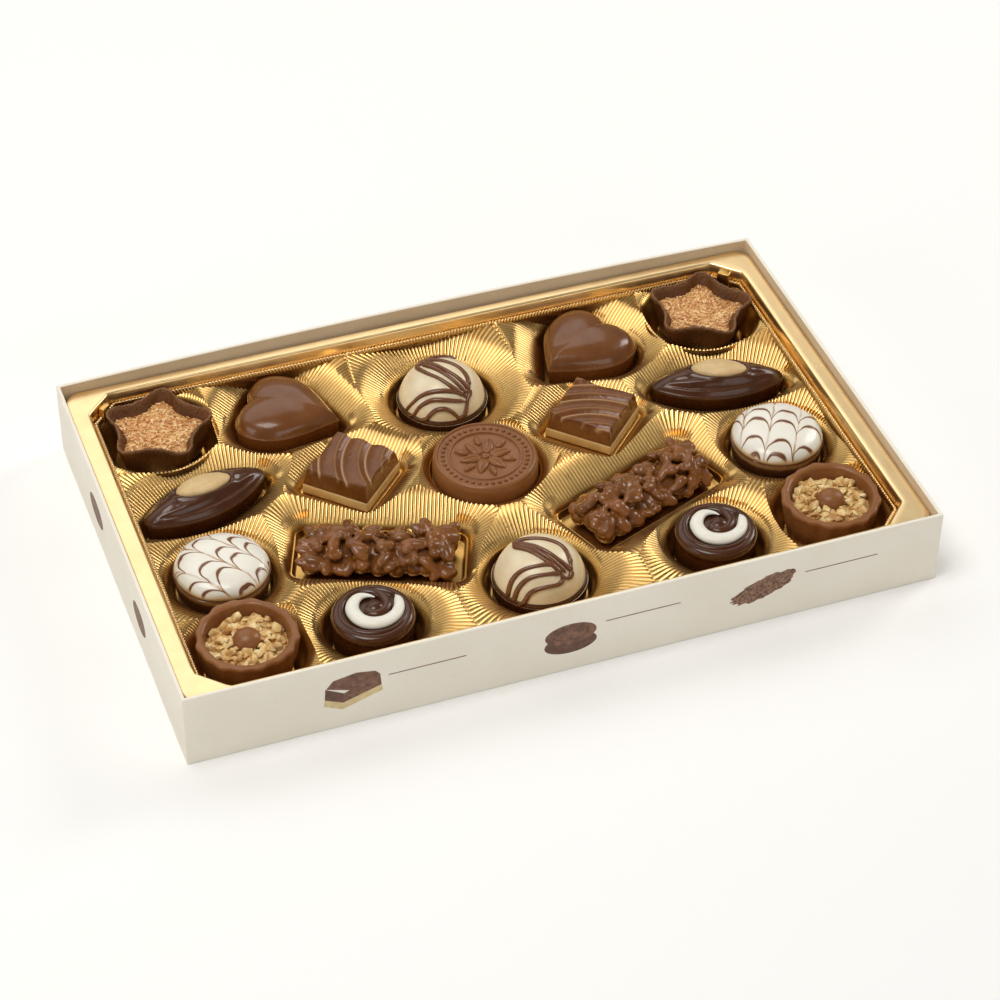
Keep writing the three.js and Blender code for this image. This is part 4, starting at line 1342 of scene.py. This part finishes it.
@dataclass
class Dome(Praline):
    """An ivory dome on a dark foot, with strands of milk chocolate drizzled over it."""

    profile: tuple[Pair, ...] = (
        (15.75, 12.9), (15.75, 14), (15.3, 16), (14.5, 18.2), (13.2, 20.4), (11.4, 22.4), (9.2, 23.9),
        (6.9, 25), (4.4, 25.8), (2.2, 26.2), (0, 26.3))

    def height(self, radius: np.ndarray) -> np.ndarray:
        """The dome's height at a distance from its middle."""
        line = smooth_line(self.profile, 200)[::-1]
        return np.interp(radius, line[:, 0], line[:, 1])

    def strand(self, knots: Sequence[Pair], thick: float) -> bmesh.types.BMesh:
        """One strand that lies on the dome."""
        flat = smooth_line(knots, 14 * len(knots))
        radius = np.linalg.norm(flat, axis=1)
        flat = flat * np.minimum(1, 15.8 / np.maximum(radius, 1e-6))[:, None]
        height = self.height(np.minimum(radius, 15.6)) + 0.2 - 1.6 * np.maximum(0, radius - 15.6)
        share = np.linspace(0, 1, len(flat))
        ends = np.clip(12 * np.minimum(share, 1 - share), 0.55, 1)
        radii = thick * (1 + 0.16 * np.sin(7 * share + knots[0][0])) * ends
        return tube(at_height(flat, height), radii, sides=12, flat=0.85)

    def build(self) -> None:
        """Makes the foot, the dome and its strands."""
        foot = spun([(0, self.bottom), (13.6, self.bottom), (14.7, self.bottom + 0.3), (16, 6.4),
                     (16.4, 9), (16.6, 11.6), (16.55, 12.8), (16.35, 13.7), (16, 14.3), (15.7, 14.35),
                     (15.4, 13.8), (15.2, 12.6), (0, 12.5)], 70)
        self.show("foot", foot, self.palette.chocolate["dark"], "dark_chocolate")
        dome = spun([(0, 12.8), (15.4, 12.8), *self.profile], 84)
        ruffled(dome, 0.16, 9, self.place.y, octaves=1)
        self.show("top", dome, self.palette.ivory, "ivory_chocolate")
        knots = DRIZZLE_BACK if self.place.side == "back" else DRIZZLE_FRONT
        strands = merged([self.strand(line, 0.88) for line in knots])
        self.show("strands", strands, self.palette.chocolate["drizzle"], "milk_chocolate", replaces=False)


@dataclass
class Oval(Praline):
    """A pointed oval with lengthwise folds and an almond sunk into its top."""

    length: float = 48.5
    width: float = 20.6
    tip: float = 4.2
    almond_turn: float = -9

    @staticmethod
    def folds(flat: np.ndarray) -> np.ndarray:
        """Height of the folds that run along the body and meet at its ends."""
        along = np.abs(flat[:, 0])
        lean = np.abs(flat[:, 1]) / np.interp(along, [0, 6, 12, 18, 22, 24], [9.7, 9.2, 7.5, 4.5, 2.2, 1])
        near = 0.3 * np.exp(-((lean - 0.56) / 0.14) ** 2) - 1.05 * np.exp(-((lean - 0.75) / 0.12) ** 2)
        near += 0.5 * np.exp(-((lean - 0.93) / 0.11) ** 2)
        far = 0.25 * np.exp(-((lean - 0.1) / 0.2) ** 2) - 0.3 * np.exp(-((lean - 0.4) / 0.18) ** 2)
        return (near + far * eased(along, 9, 13)) * (1 - 0.95 * eased(along, 12, 21))

    def build(self) -> None:
        """Makes the body and the almond."""
        points, normals = pointed_outline(self.length, self.width, self.tip).sampled(240, 0)
        knots = [(1.6, self.bottom), (1.2, self.bottom + 0.6), (0.6, 11), (0.1, 15.4), (0, 16.6),
                 (0.15, 17.1), (0.6, 17.5)]
        rows = smooth_line(knots, 30)
        rings = [at_height(points - inset * normals, z) for inset, z in rows]
        base = points - 0.6 * normals
        for share in np.linspace(0, 1, 76)[1:-1]:
            flat = base * (1 - share)
            crown = 17.5 + 4.7 * (1 - (1 - share) ** 3.6)
            rings.append(at_height(flat, crown + self.folds(flat) * eased(share, 0.02, 0.12)))
        body = smoothed(lofted(np.stack(rings)), 18.2, 7)
        lie = Matrix.Translation((0.3, 0.8, 0)) @ Matrix.Rotation(math.radians(self.almond_turn), 4, "Z")
        back = lie.inverted()
        for vert in [v for v in body.verts if v.co.z > 18]:
            spot = back @ vert.co
            away = math.hypot(spot.x / 10.7, spot.y / 5.3)
            lip = math.exp(-((away - 1.07) / 0.12) ** 2) * 0.5
            vert.co.z = vert.co.z + lip if away > 0.95 else min(vert.co.z, 21)
        self.show("body", body, self.palette.chocolate["dark"], "dark_chocolate", smooth=60)
        almond = bmesh.new()
        bmesh.ops.create_uvsphere(almond, u_segments=64, v_segments=32, radius=1)
        for vert in almond.verts:
            x, y, z = vert.co
            narrow = 1 - 0.16 * max(x, 0) ** 2 - 0.05 * abs(x)
            height = 21.8 + 2.5 * math.copysign(abs(z) ** 0.75, z) * narrow
            vert.co = lie @ Vector((10.2 * x, 4.8 * y * narrow, height))
        ruffled(almond, 0.12, 2.5, self.place.y)
        self.show("almond", almond, self.palette.almond, "almond")


@dataclass
class Square(Praline):
    """A square of hazelnut cream under milk nougat with curved waves on its top."""

    side: float = 26
    top_side: float = 22.8
    seam: float = 3.5
    top: float = 24.2
    depth: float = 1.5
    wave_radius: float = 30
    wave_turn: float = -66
    pitch: float = 8.2
    first_valley: float = -13.2

    def block(self, low: Pair, high: Pair) -> bmesh.types.BMesh:
        """A block that narrows upwards, each end as (side, height), with soft edges."""
        bm = bmesh.new()
        bmesh.ops.create_cube(bm, size=1)
        for vert in bm.verts:
            side, z = high if vert.co.z > 0 else low
            vert.co = (vert.co.x * side, vert.co.y * side, z)
        return softened(bm, bm.edges[:], 0.35)

    def phase(self, x: float, y: float) -> float:
        """Share of a wave at a point of the top, 0 in a valley."""
        turn = math.radians(self.wave_turn)
        away = math.hypot(x - self.wave_radius * math.cos(turn), y - self.wave_radius * math.sin(turn))
        return ((away - self.wave_radius - self.first_valley) / self.pitch) % 1

    def line(self, x: float, y: float) -> float:
        """How much a point lies on one of the thin painted highlight lines along the waves."""
        share = self.phase(x, y)
        seams = (share * self.pitch, (1 - share) * self.pitch, (share - 0.3) * self.pitch)
        return sum(weight * math.exp(-(seam / 0.32) ** 2) for weight, seam in zip((1, 1, 0.45), seams))

    def wave(self, x: float, y: float) -> float:
        """How far the top lies below its crests."""
        share = self.phase(x, y)
        rise = share / 0.44 if share < 0.44 else (1 - share) / 0.56
        seam = min(share, 1 - share) * self.pitch / 0.3
        crest = math.sin(min(1, max(0, rise)) * math.pi / 2) ** 0.9
        return self.depth * (1 - crest) - 0.42 * math.exp(-seam * seam)

    def build(self) -> None:
        """Makes the two layers and the waved top."""
        seam = self.bottom + self.seam
        cream = self.block((self.side, self.bottom), (self.side - 0.6, seam))
        self.show("cream", ruffled(cream, 0.1, 6, 3), self.palette.cream, "hazelnut_cream")
        border = 0.03

        def rule(u: np.ndarray, v: np.ndarray) -> np.ndarray:
            """Bends the grid's border down as the sides, and waves the rest as the top."""
            skirt = np.minimum(1, np.minimum(np.minimum(u, 1 - u), np.minimum(v, 1 - v)) / border)
            x, y = (np.clip((share - border) / (1 - 2 * border), 0, 1) - 0.5 for share in (u, v))
            limit = np.maximum(np.abs(x), np.abs(y)) * 2
            side = np.where(skirt < 1, self.side - 1 + (self.top_side - self.side + 1) * skirt, self.top_side)
            waved = np.array([self.wave(a, b) for a, b in zip(x * self.top_side, y * self.top_side)])
            edge = self.top - waved - 0.3 * eased(limit, 0.965, 1)
            z = seam + 0.3 + (edge - seam - 0.3) * skirt
            return np.stack([x * side, y * side, z], axis=1)

        nougat = bent_grid(150, 150, rule, weld=False)
        lowest = self.top - self.depth - 1
        # the thin lines along the waves are painted highlights
        painted(nougat, [self.line(x, y) if z > lowest else 0.0 for x, y, z in points_of(nougat)])
        bmesh.ops.holes_fill(nougat, edges=[e for e in nougat.edges if len(e.link_faces) == 1])
        bmesh.ops.recalc_face_normals(nougat, faces=nougat.faces[:])
        ruffled(nougat, 0.06, 2.2, self.place.x)
        self.show("nougat", nougat, self.palette.chocolate["nougat"], "nougat", smooth=35)


@dataclass
class Medal(Praline):
    """A thick round coin with rings, a ring of beads and a plain flower of petals and sepals."""

    top: float = 22.7
    beads: int = 40

    def build(self) -> None:
        """Makes the coin with its relief."""
        top, low = self.top, self.bottom
        profile = [(0, low), (17.4, low), (18.2, low + 0.3), (18.75, low + 1.1), (18.9, low + 2.5),
                   (18.75, top - 2.6), (18.4, top - 1.2), (18.1, top - 0.45), (17.5, top - 0.05),
                   (17.1, top - 0.1), (16.85, top - 0.55), (16.6, top - 0.6), (13.5, top - 0.6),
                   (13.2, top - 0.15), (12.8, top - 0.05), (12.45, top - 0.2), (12.2, top - 0.75),
                   (11.6, top - 0.8), (0, top - 0.8)]
        parts = [spun(profile, 190, steps=120)]
        for angle in ring_angles(self.beads):
            spot = Matrix.Translation((15.05 * math.cos(angle), 15.05 * math.sin(angle), top - 0.4))
            parts.append(ball(2, 0.72, spot @ Matrix.Diagonal((1, 1, 0.75, 1))))
        for k, angle in enumerate(ring_angles(12)):
            is_petal = k % 2 == 0
            reach, length, width = (5.6, 3.9, 2.1) if is_petal else (8.6, 2.6, 1.25)
            leaf = bmesh.new()
            bmesh.ops.create_uvsphere(leaf, u_segments=24, v_segments=14, radius=1)
            for vert in leaf.verts:
                narrow = 1 - 0.35 * vert.co.x
                crease = 0.35 * math.exp(-(vert.co.y / 0.16) ** 2) if is_petal else 0
                vert.co = (length * vert.co.x, width * vert.co.y * narrow, (1.15 - 1.6 * crease) * vert.co.z)
            spot = Matrix.Rotation(angle, 4, "Z") @ Matrix.Translation((reach, 0, top - 0.62))
            parts.append(moved(leaf, spot))
        parts.append(ball(3, 1.5, Matrix.Translation((0, 0, top - 0.75)) @ Matrix.Diagonal((1, 1, 0.6, 1))))
        self.show("", merged(parts), self.palette.chocolate["matte_milk"], "milk_chocolate")


@dataclass
class Round(Praline):
    """A dark base under a cap of white icing with feathered brown lines."""

    def build(self) -> None:
        """Makes the base and the cap."""
        low = self.bottom
        base = spun([(0, low), (13.4, low), (14.6, low + 0.4), (15.6, low + 2), (16.1, 12),
                     (16.3, 15.4), (16.2, 16.3), (15, 16.45), (0, 16.45)], 60)
        self.show("base", base, self.palette.round_base, "dark_chocolate")
        cap = spun([(0, 16.6), (15.3, 16.6), (16.1, 16.8), (16.35, 17.5), (16.2, 18.5), (15.5, 19.8),
                    (14, 21.1), (11.6, 22.1), (8.6, 22.75), (5, 23.05), (0, 23.2)], 70)
        ruffled(cap, 0.28, 8, self.place.x, octaves=1)
        self.show("icing", cap, self.palette.icing[self.place.side], "icing")


@dataclass
class Bar(Praline):
    """A rough bar of slivered nuts under glossy milk chocolate, fused into one skin."""

    length: float = 56
    width: float = 23.5
    height: float = 14.6
    slivers: int = 68
    bits: int = 26
    LONG: ClassVar[tuple[Pair, ...]] = ((3.4, 5.4), (2.1, 2.9), (1.5, 2))
    SHORT: ClassVar[tuple[Pair, ...]] = ((2.2, 3.4), (2, 2.9), (1.7, 2.3))
    VOXEL: ClassVar[float] = 0.42

    @staticmethod
    def lump(rng: random.Random, spot: Triple, sizes: Triple, tilt: float = 0.5) -> bmesh.types.BMesh:
        """One coated sliver."""
        turn = tumbled(rng, tilt) @ Matrix.Rotation(rng.uniform(-tilt, tilt), 4, "Y")
        return ball(2, 1, Matrix.Translation(spot) @ turn @ Matrix.Diagonal((*sizes, 1)))

    def heap(self, x: float) -> float:
        """Share of the full height along the bar: two heaps with a dip between them."""
        return 0.87 + 0.13 * math.cos(TURN * (x + 11) / 31) - 0.08 * (2 * x / self.length) ** 4

    def pile(self) -> list[bmesh.types.BMesh]:
        """The core of the bar and the slivers piled round it."""
        rng = random.Random(41 if self.place.side == "left" else 87)
        half_x, half_y, low = self.length / 2 - 3.4, self.width / 2 - 2.6, self.bottom
        parts = []
        for k in range(9):
            x = (k / 8 - 0.5) * (self.length - 15)
            spot = (x, rng.uniform(-0.8, 0.8), low + 5 * self.heap(x))
            parts.append(self.lump(rng, spot, (6, 6, 5.2 * self.heap(x))))
        for side in (-1, 1):
            for k in range(9):
                spot = ((k / 8 - 0.5) * (self.length - 10), side * rng.uniform(5.6, 6.8), low + 3.6)
                parts.append(self.lump(rng, spot, (4.2, 3.6, 3.5)))
        for k in range(self.slivers):
            x = half_x * math.sin(math.pi * ((k + rng.random()) / self.slivers - 0.5)) * (1 if k % 2 else -1)
            around = math.pi * ((k * 0.618 + rng.uniform(-0.05, 0.05)) % 1)
            z = low + 3.2 + (self.height * self.heap(x) - 5.2) * math.sin(around) ** 0.8
            ranges = self.LONG if rng.random() < 0.5 else self.SHORT
            sizes = tuple(rng.uniform(*ends) for ends in ranges)
            parts.append(self.lump(rng, (x, half_y * math.cos(around), z), sizes, tilt=0.55))
        for _ in range(self.bits):
            x, y = rng.uniform(-half_x, half_x), rng.uniform(-half_y, half_y) * 0.9
            top = low + 3.2 + (self.height * self.heap(x) - 4.6) * math.sqrt(max(0, 1 - (y / half_y) ** 2))
            parts.append(self.lump(rng, (x, y, top), (rng.uniform(1, 1.6), 1.2, 1.1), tilt=1))
        return parts

    def build(self) -> None:
        """Makes the bar: the pile is skinned over and smoothed, and its underside is kept flat."""
        look = self.palette.chocolate["glossy_milk"]
        piece = self.show("", merged(self.pile()), look, "nut_bar", smooth=180)
        remesh = piece.modifiers.new("skin", "REMESH")
        remesh.mode, remesh.voxel_size, remesh.use_smooth_shade = "VOXEL", self.VOXEL * MM, True
        smooth = piece.modifiers.new("soften", "SMOOTH")
        smooth.factor, smooth.iterations = 0.5, 8
        graph = bpy.context.evaluated_depsgraph_get()
        skin = bpy.data.meshes.new_from_object(piece.evaluated_get(graph))
        piece.modifiers.clear()
        old, piece.data = piece.data, skin
        bpy.data.meshes.remove(old)
        bm = bmesh.new()
        bm.from_mesh(skin)
        back = self.place.matrix().inverted()
        local = bm.verts.layers.float_vector.get("local") or bm.verts.layers.float_vector.new("local")
        floor = self.bottom * MM
        for vert in bm.verts:
            vert.co.z = max(vert.co.z, floor)
            vert[local] = back @ vert.co
        for face in bm.faces:
            face.smooth = True
        bm.to_mesh(skin)
        bm.free()
        if not skin.materials:
            skin.materials.append(look)


@dataclass
class Cup(Praline):
    """A thick-walled cup of chopped nuts with a small chocolate drop in the middle."""

    rim: float = 25.3
    bed: float = 20.9
    chips: int = 105

    def edge(self, inset: float, seed: float, count: int = 180) -> np.ndarray:
        """The cup's uneven outline, moved inwards."""
        angle = ring_angles(count)
        wave = 0.2 * np.cos(3 * angle + seed) + 0.22 * np.cos(9 * angle + 2 * seed)
        wave += 0.28 * np.cos(16 * angle)
        return round_points(17.2 - inset + wave * eased(-inset, -3.2, -0.5), angle)

    @staticmethod
    def chip(rng: random.Random) -> bmesh.types.BMesh:
        """One cut piece of nut, about 1 mm across."""
        chip = bmesh.new()
        for _ in range(11):
            point = Vector([rng.gauss(0, 1) for _ in range(3)]).normalized() * rng.uniform(0.42, 0.58)
            chip.verts.new(point)
        hull = bmesh.ops.convex_hull(chip, input=chip.verts[:])
        loose = set(vertices_in(hull["geom_interior"] + hull["geom_unused"]))
        bmesh.ops.delete(chip, geom=list(loose), context="VERTS")
        bmesh.ops.subdivide_edges(chip, edges=chip.edges[:], cuts=2, smooth=0.1, use_grid_fill=True)
        return chip

    def build(self) -> None:
        """Makes the shell, the nuts and the drop."""
        seed = math.radians(self.place.turn) + self.place.x
        rng = random.Random(7 if self.place.side == "left" else 19)
        knots = [(3.9, self.bottom), (3.3, self.bottom + 0.5), (2.4, 11), (1.2, 17), (0.4, 22.4),
                 (0.1, 23.9), (0.15, 24.7), (0.5, 25.2), (1.1, self.rim), (1.9, self.rim), (2.5, 25.05),
                 (2.85, 24.6), (3, 23.6), (3.3, 21.6), (3.8, 19)]
        rings = [at_height(self.edge(inset, seed), z) for inset, z in smooth_line(knots, 60)]
        shell = ruffled(lofted(np.stack(rings), cap_end=False), 0.12, 4, seed)
        milk = self.palette.chocolate["matte_milk"]
        self.show("shell", shell, milk, "milk_chocolate")
        steps = [(0.95, 19.2), (1, 20)] + [(share, self.bed) for share in (0.9, 0.7, 0.5, 0.25)]
        parts = [ruffled(lofted(levels(self.edge(3.5, seed), steps)), 0.5, 1.6, seed)]
        for k in range(self.chips):
            spread = 12.9 * math.sqrt((k + 0.5) / self.chips)
            angle = k * GOLDEN_ANGLE + rng.uniform(-0.2, 0.2)
            if spread < 3.9:
                continue
            chip = self.chip(rng)
            size = rng.uniform(2.2, 4.6)
            turn = tumbled(rng, 1)
            length, width = size * rng.uniform(0.9, 1.25), size * rng.uniform(0.7, 1)
            shape = Matrix.Diagonal((length, width, size * 0.8, 1))
            heap = self.bed + 0.3 + rng.uniform(0, 1.9) - 0.05 * max(0, spread - 8) ** 2
            spot = Matrix.Translation((spread * math.cos(angle), spread * math.sin(angle), heap))
            parts.append(ruffled(moved(chip, spot @ turn @ shape), 0.1, 0.8, k))
        self.show("nuts", merged(parts), self.palette.nuts, "chopped_nuts", smooth=38)
        drop = spun([(0, 19.8), (3.4, 20.2), (4.6, 21.4), (4.9, 22.6), (4.5, 23.9), (3.4, 25.1),
                     (1.8, 25.9), (0, 26.2)], 40, steps=56)
        self.show("ball", ruffled(drop, 0.14, 4, seed), milk, "milk_chocolate")


@dataclass
class Swirl(Praline):
    """A dark round body whose top coils inwards, with a white crescent band in the coil."""

    top: float = 20.4
    lie: float = -15
    coil: tuple[Pair, ...] = (
        (-1.6, 1.2), (-0.6, -0.6), (1.8, -0.9), (3.9, 0.8), (4.9, 3.8), (3.9, 7.2), (0.8, 9.7),
        (-4, 10.4), (-8.2, 8), (-10.5, 3.6), (-10.7, -1.8), (-8.6, -6.4), (-4.5, -9.3), (0.6, -10.1),
        (5.5, -8.8), (9, -5.7), (11, -1.4), (11.9, 3.4))
    thickness: tuple[Pair, ...] = (
        (0, 1.6), (0.1, 2), (0.22, 1.9), (0.32, 1.6), (0.5, 1.15), (0.9, 1), (1, 0.3))
    band: tuple[Triple, ...] = (
        (82, 7, 0.2), (100, 8, 0.85), (123, 8.5, 1.7), (161, 7.2, 2.35), (206, 5.9, 2.55),
        (272, 5.7, 2.6), (323, 6.8, 2.4), (368, 8.9, 1.95), (392, 10.4, 1.4), (404, 11.1, 0.15))

    def turned(self, flat: np.ndarray, height: float) -> np.ndarray:
        """Points of a line on the top, turned into the praline's own frame."""
        return at_height(rotated(flat, self.lie), height)

    def build(self) -> None:
        """Makes the body with its coiled rope, and the white band."""
        low = self.bottom
        body = spun([(0, low), (11.6, low), (12.5, low + 0.5), (13.3, low + 3), (13.7, 9), (13.75, 14),
                     (13.6, 16.2), (13.9, 16.8), (14.25, 17.8), (14.1, 19), (13.4, 20.1), (12.2, 20.6),
                     (11.2, 20.4), (10.2, 19.7), (8.6, 19.3), (0, 19.2)], 110)
        rope = self.turned(smooth_line(self.coil, 260), self.top - 0.35)
        thick = np.interp(np.linspace(0, 1, len(rope)), *zip(*self.thickness))
        middle = self.turned(np.array([[0.8, 2.2]]), self.top - 0.5)[0]
        blob = ball(4, 1, Matrix.Translation(middle) @ Matrix.Diagonal((3.3, 3.1, 2.1, 1)))
        parts = [body, tube(rope, thick, sides=20, flat=0.8), blob]
        self.show("body", merged(parts), self.palette.chocolate["dark"], "dark_chocolate", smooth=60)
        table = smooth_line(self.band, 150)
        path = self.turned(round_points(table[:, 1], np.radians(table[:, 0])), self.top)
        band = tube(path, np.maximum(table[:, 2], 0.05), sides=24, flat=0.66)
        self.show("band", band, self.palette.white, "white_chocolate")


MAKERS = {
    Kind.STAR: Star, Kind.HEART: Heart, Kind.DOME: Dome, Kind.OVAL: Oval, Kind.SQUARE: Square,
    Kind.MEDAL: Medal, Kind.ROUND: Round, Kind.BAR: Bar, Kind.CUP: Cup, Kind.SWIRL: Swirl,
}


@dataclass(frozen=True)
class Softbox:
    """A large soft light: where it hangs, its size in metres and its brightness."""

    name: str
    place: Triple
    size: Pair
    power: float
    colour: Colour = (1, 0.98, 0.95)


@dataclass(frozen=True)
class Studio:
    """The floor, the lights and the camera."""

    softboxes: tuple[Softbox, ...] = (
        Softbox("back", (-0.2, 0.95, 1.0), (1.8, 0.8), 6),
        Softbox("key", (-0.45, -0.15, 1.5), (0.7, 0.7), 12.5),
        Softbox("right", (1.2, 0.4, 0.75), (0.4, 0.55), 6),
        Softbox("left", (-1.5, -0.3, 0.6), (0.8, 0.6), 3.6),
        Softbox("front", (0.3, -1.6, 0.55), (1.2, 0.6), 4.2),
    )
    eye: Triple = (-0.2795, -0.76675, 0.7231)
    right: Triple = (0.940162, -0.340632, 0.008092)
    up: Triple = (0.219404, 0.623396, 0.750492)
    forward: Triple = (0.260686, 0.703809, -0.66083)
    lens: float = 109.87

    def build(self) -> None:
        """Makes the studio."""
        scene = bpy.context.scene
        world = bpy.data.worlds.new("studio")
        scene.world = world
        world.use_nodes = True
        sky = world.node_tree.nodes["Background"].inputs
        sky["Color"].default_value = (1, 0.97, 0.92, 1)
        sky["Strength"].default_value = 0.24
        scene.view_settings.view_transform = "Standard"
        bm = bmesh.new()
        bmesh.ops.create_grid(bm, x_segments=8, y_segments=8, size=4)
        mesh = bpy.data.meshes.new("floor")
        bm.to_mesh(mesh)
        bm.free()
        graph = Graph("floor")
        graph.set(Base_Color=(0.93, 0.93, 0.925), Roughness=0.8, Specular_IOR_Level=0.2)
        mesh.materials.append(graph.material)
        floor = bpy.data.objects.new("floor", mesh)
        scene.collection.objects.link(floor)
        for box in self.softboxes:
            light = bpy.data.lights.new(box.name, "AREA")
            light.shape, light.size, light.size_y = "RECTANGLE", *box.size
            light.energy, light.color = box.power, box.colour
            lamp = bpy.data.objects.new(box.name, light)
            lamp.location = box.place
            lamp.rotation_euler = (-Vector(box.place)).to_track_quat("-Z", "Y").to_euler()
            scene.collection.objects.link(lamp)
        camera = bpy.data.cameras.new("camera")
        camera.lens, camera.sensor_width = self.lens, 36
        camera.clip_start, camera.clip_end = 0.01, 20
        eye = bpy.data.objects.new("camera", camera)
        axes = Matrix((self.right, self.up, [-v for v in self.forward])).transposed()
        eye.matrix_world = Matrix.Translation(self.eye) @ axes.to_4x4()
        scene.collection.objects.link(eye)
        scene.camera = eye


def main() -> None:
    """Builds the whole scene in order."""
    logging.basicConfig(level=logging.INFO, format="%(name)s: %(message)s")
    LOG.info("dressing the %d nodes of the frame", len(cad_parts))
    palette = Palette()
    size = BoxSize()
    Studio().build()
    Carton(size, palette).build()
    Insert(size, palette).build()
    for place in PLACES:
        MAKERS[place.kind](place, palette).build()
        LOG.info("made %s", place.name)


if __name__ == "__main__":
    main()
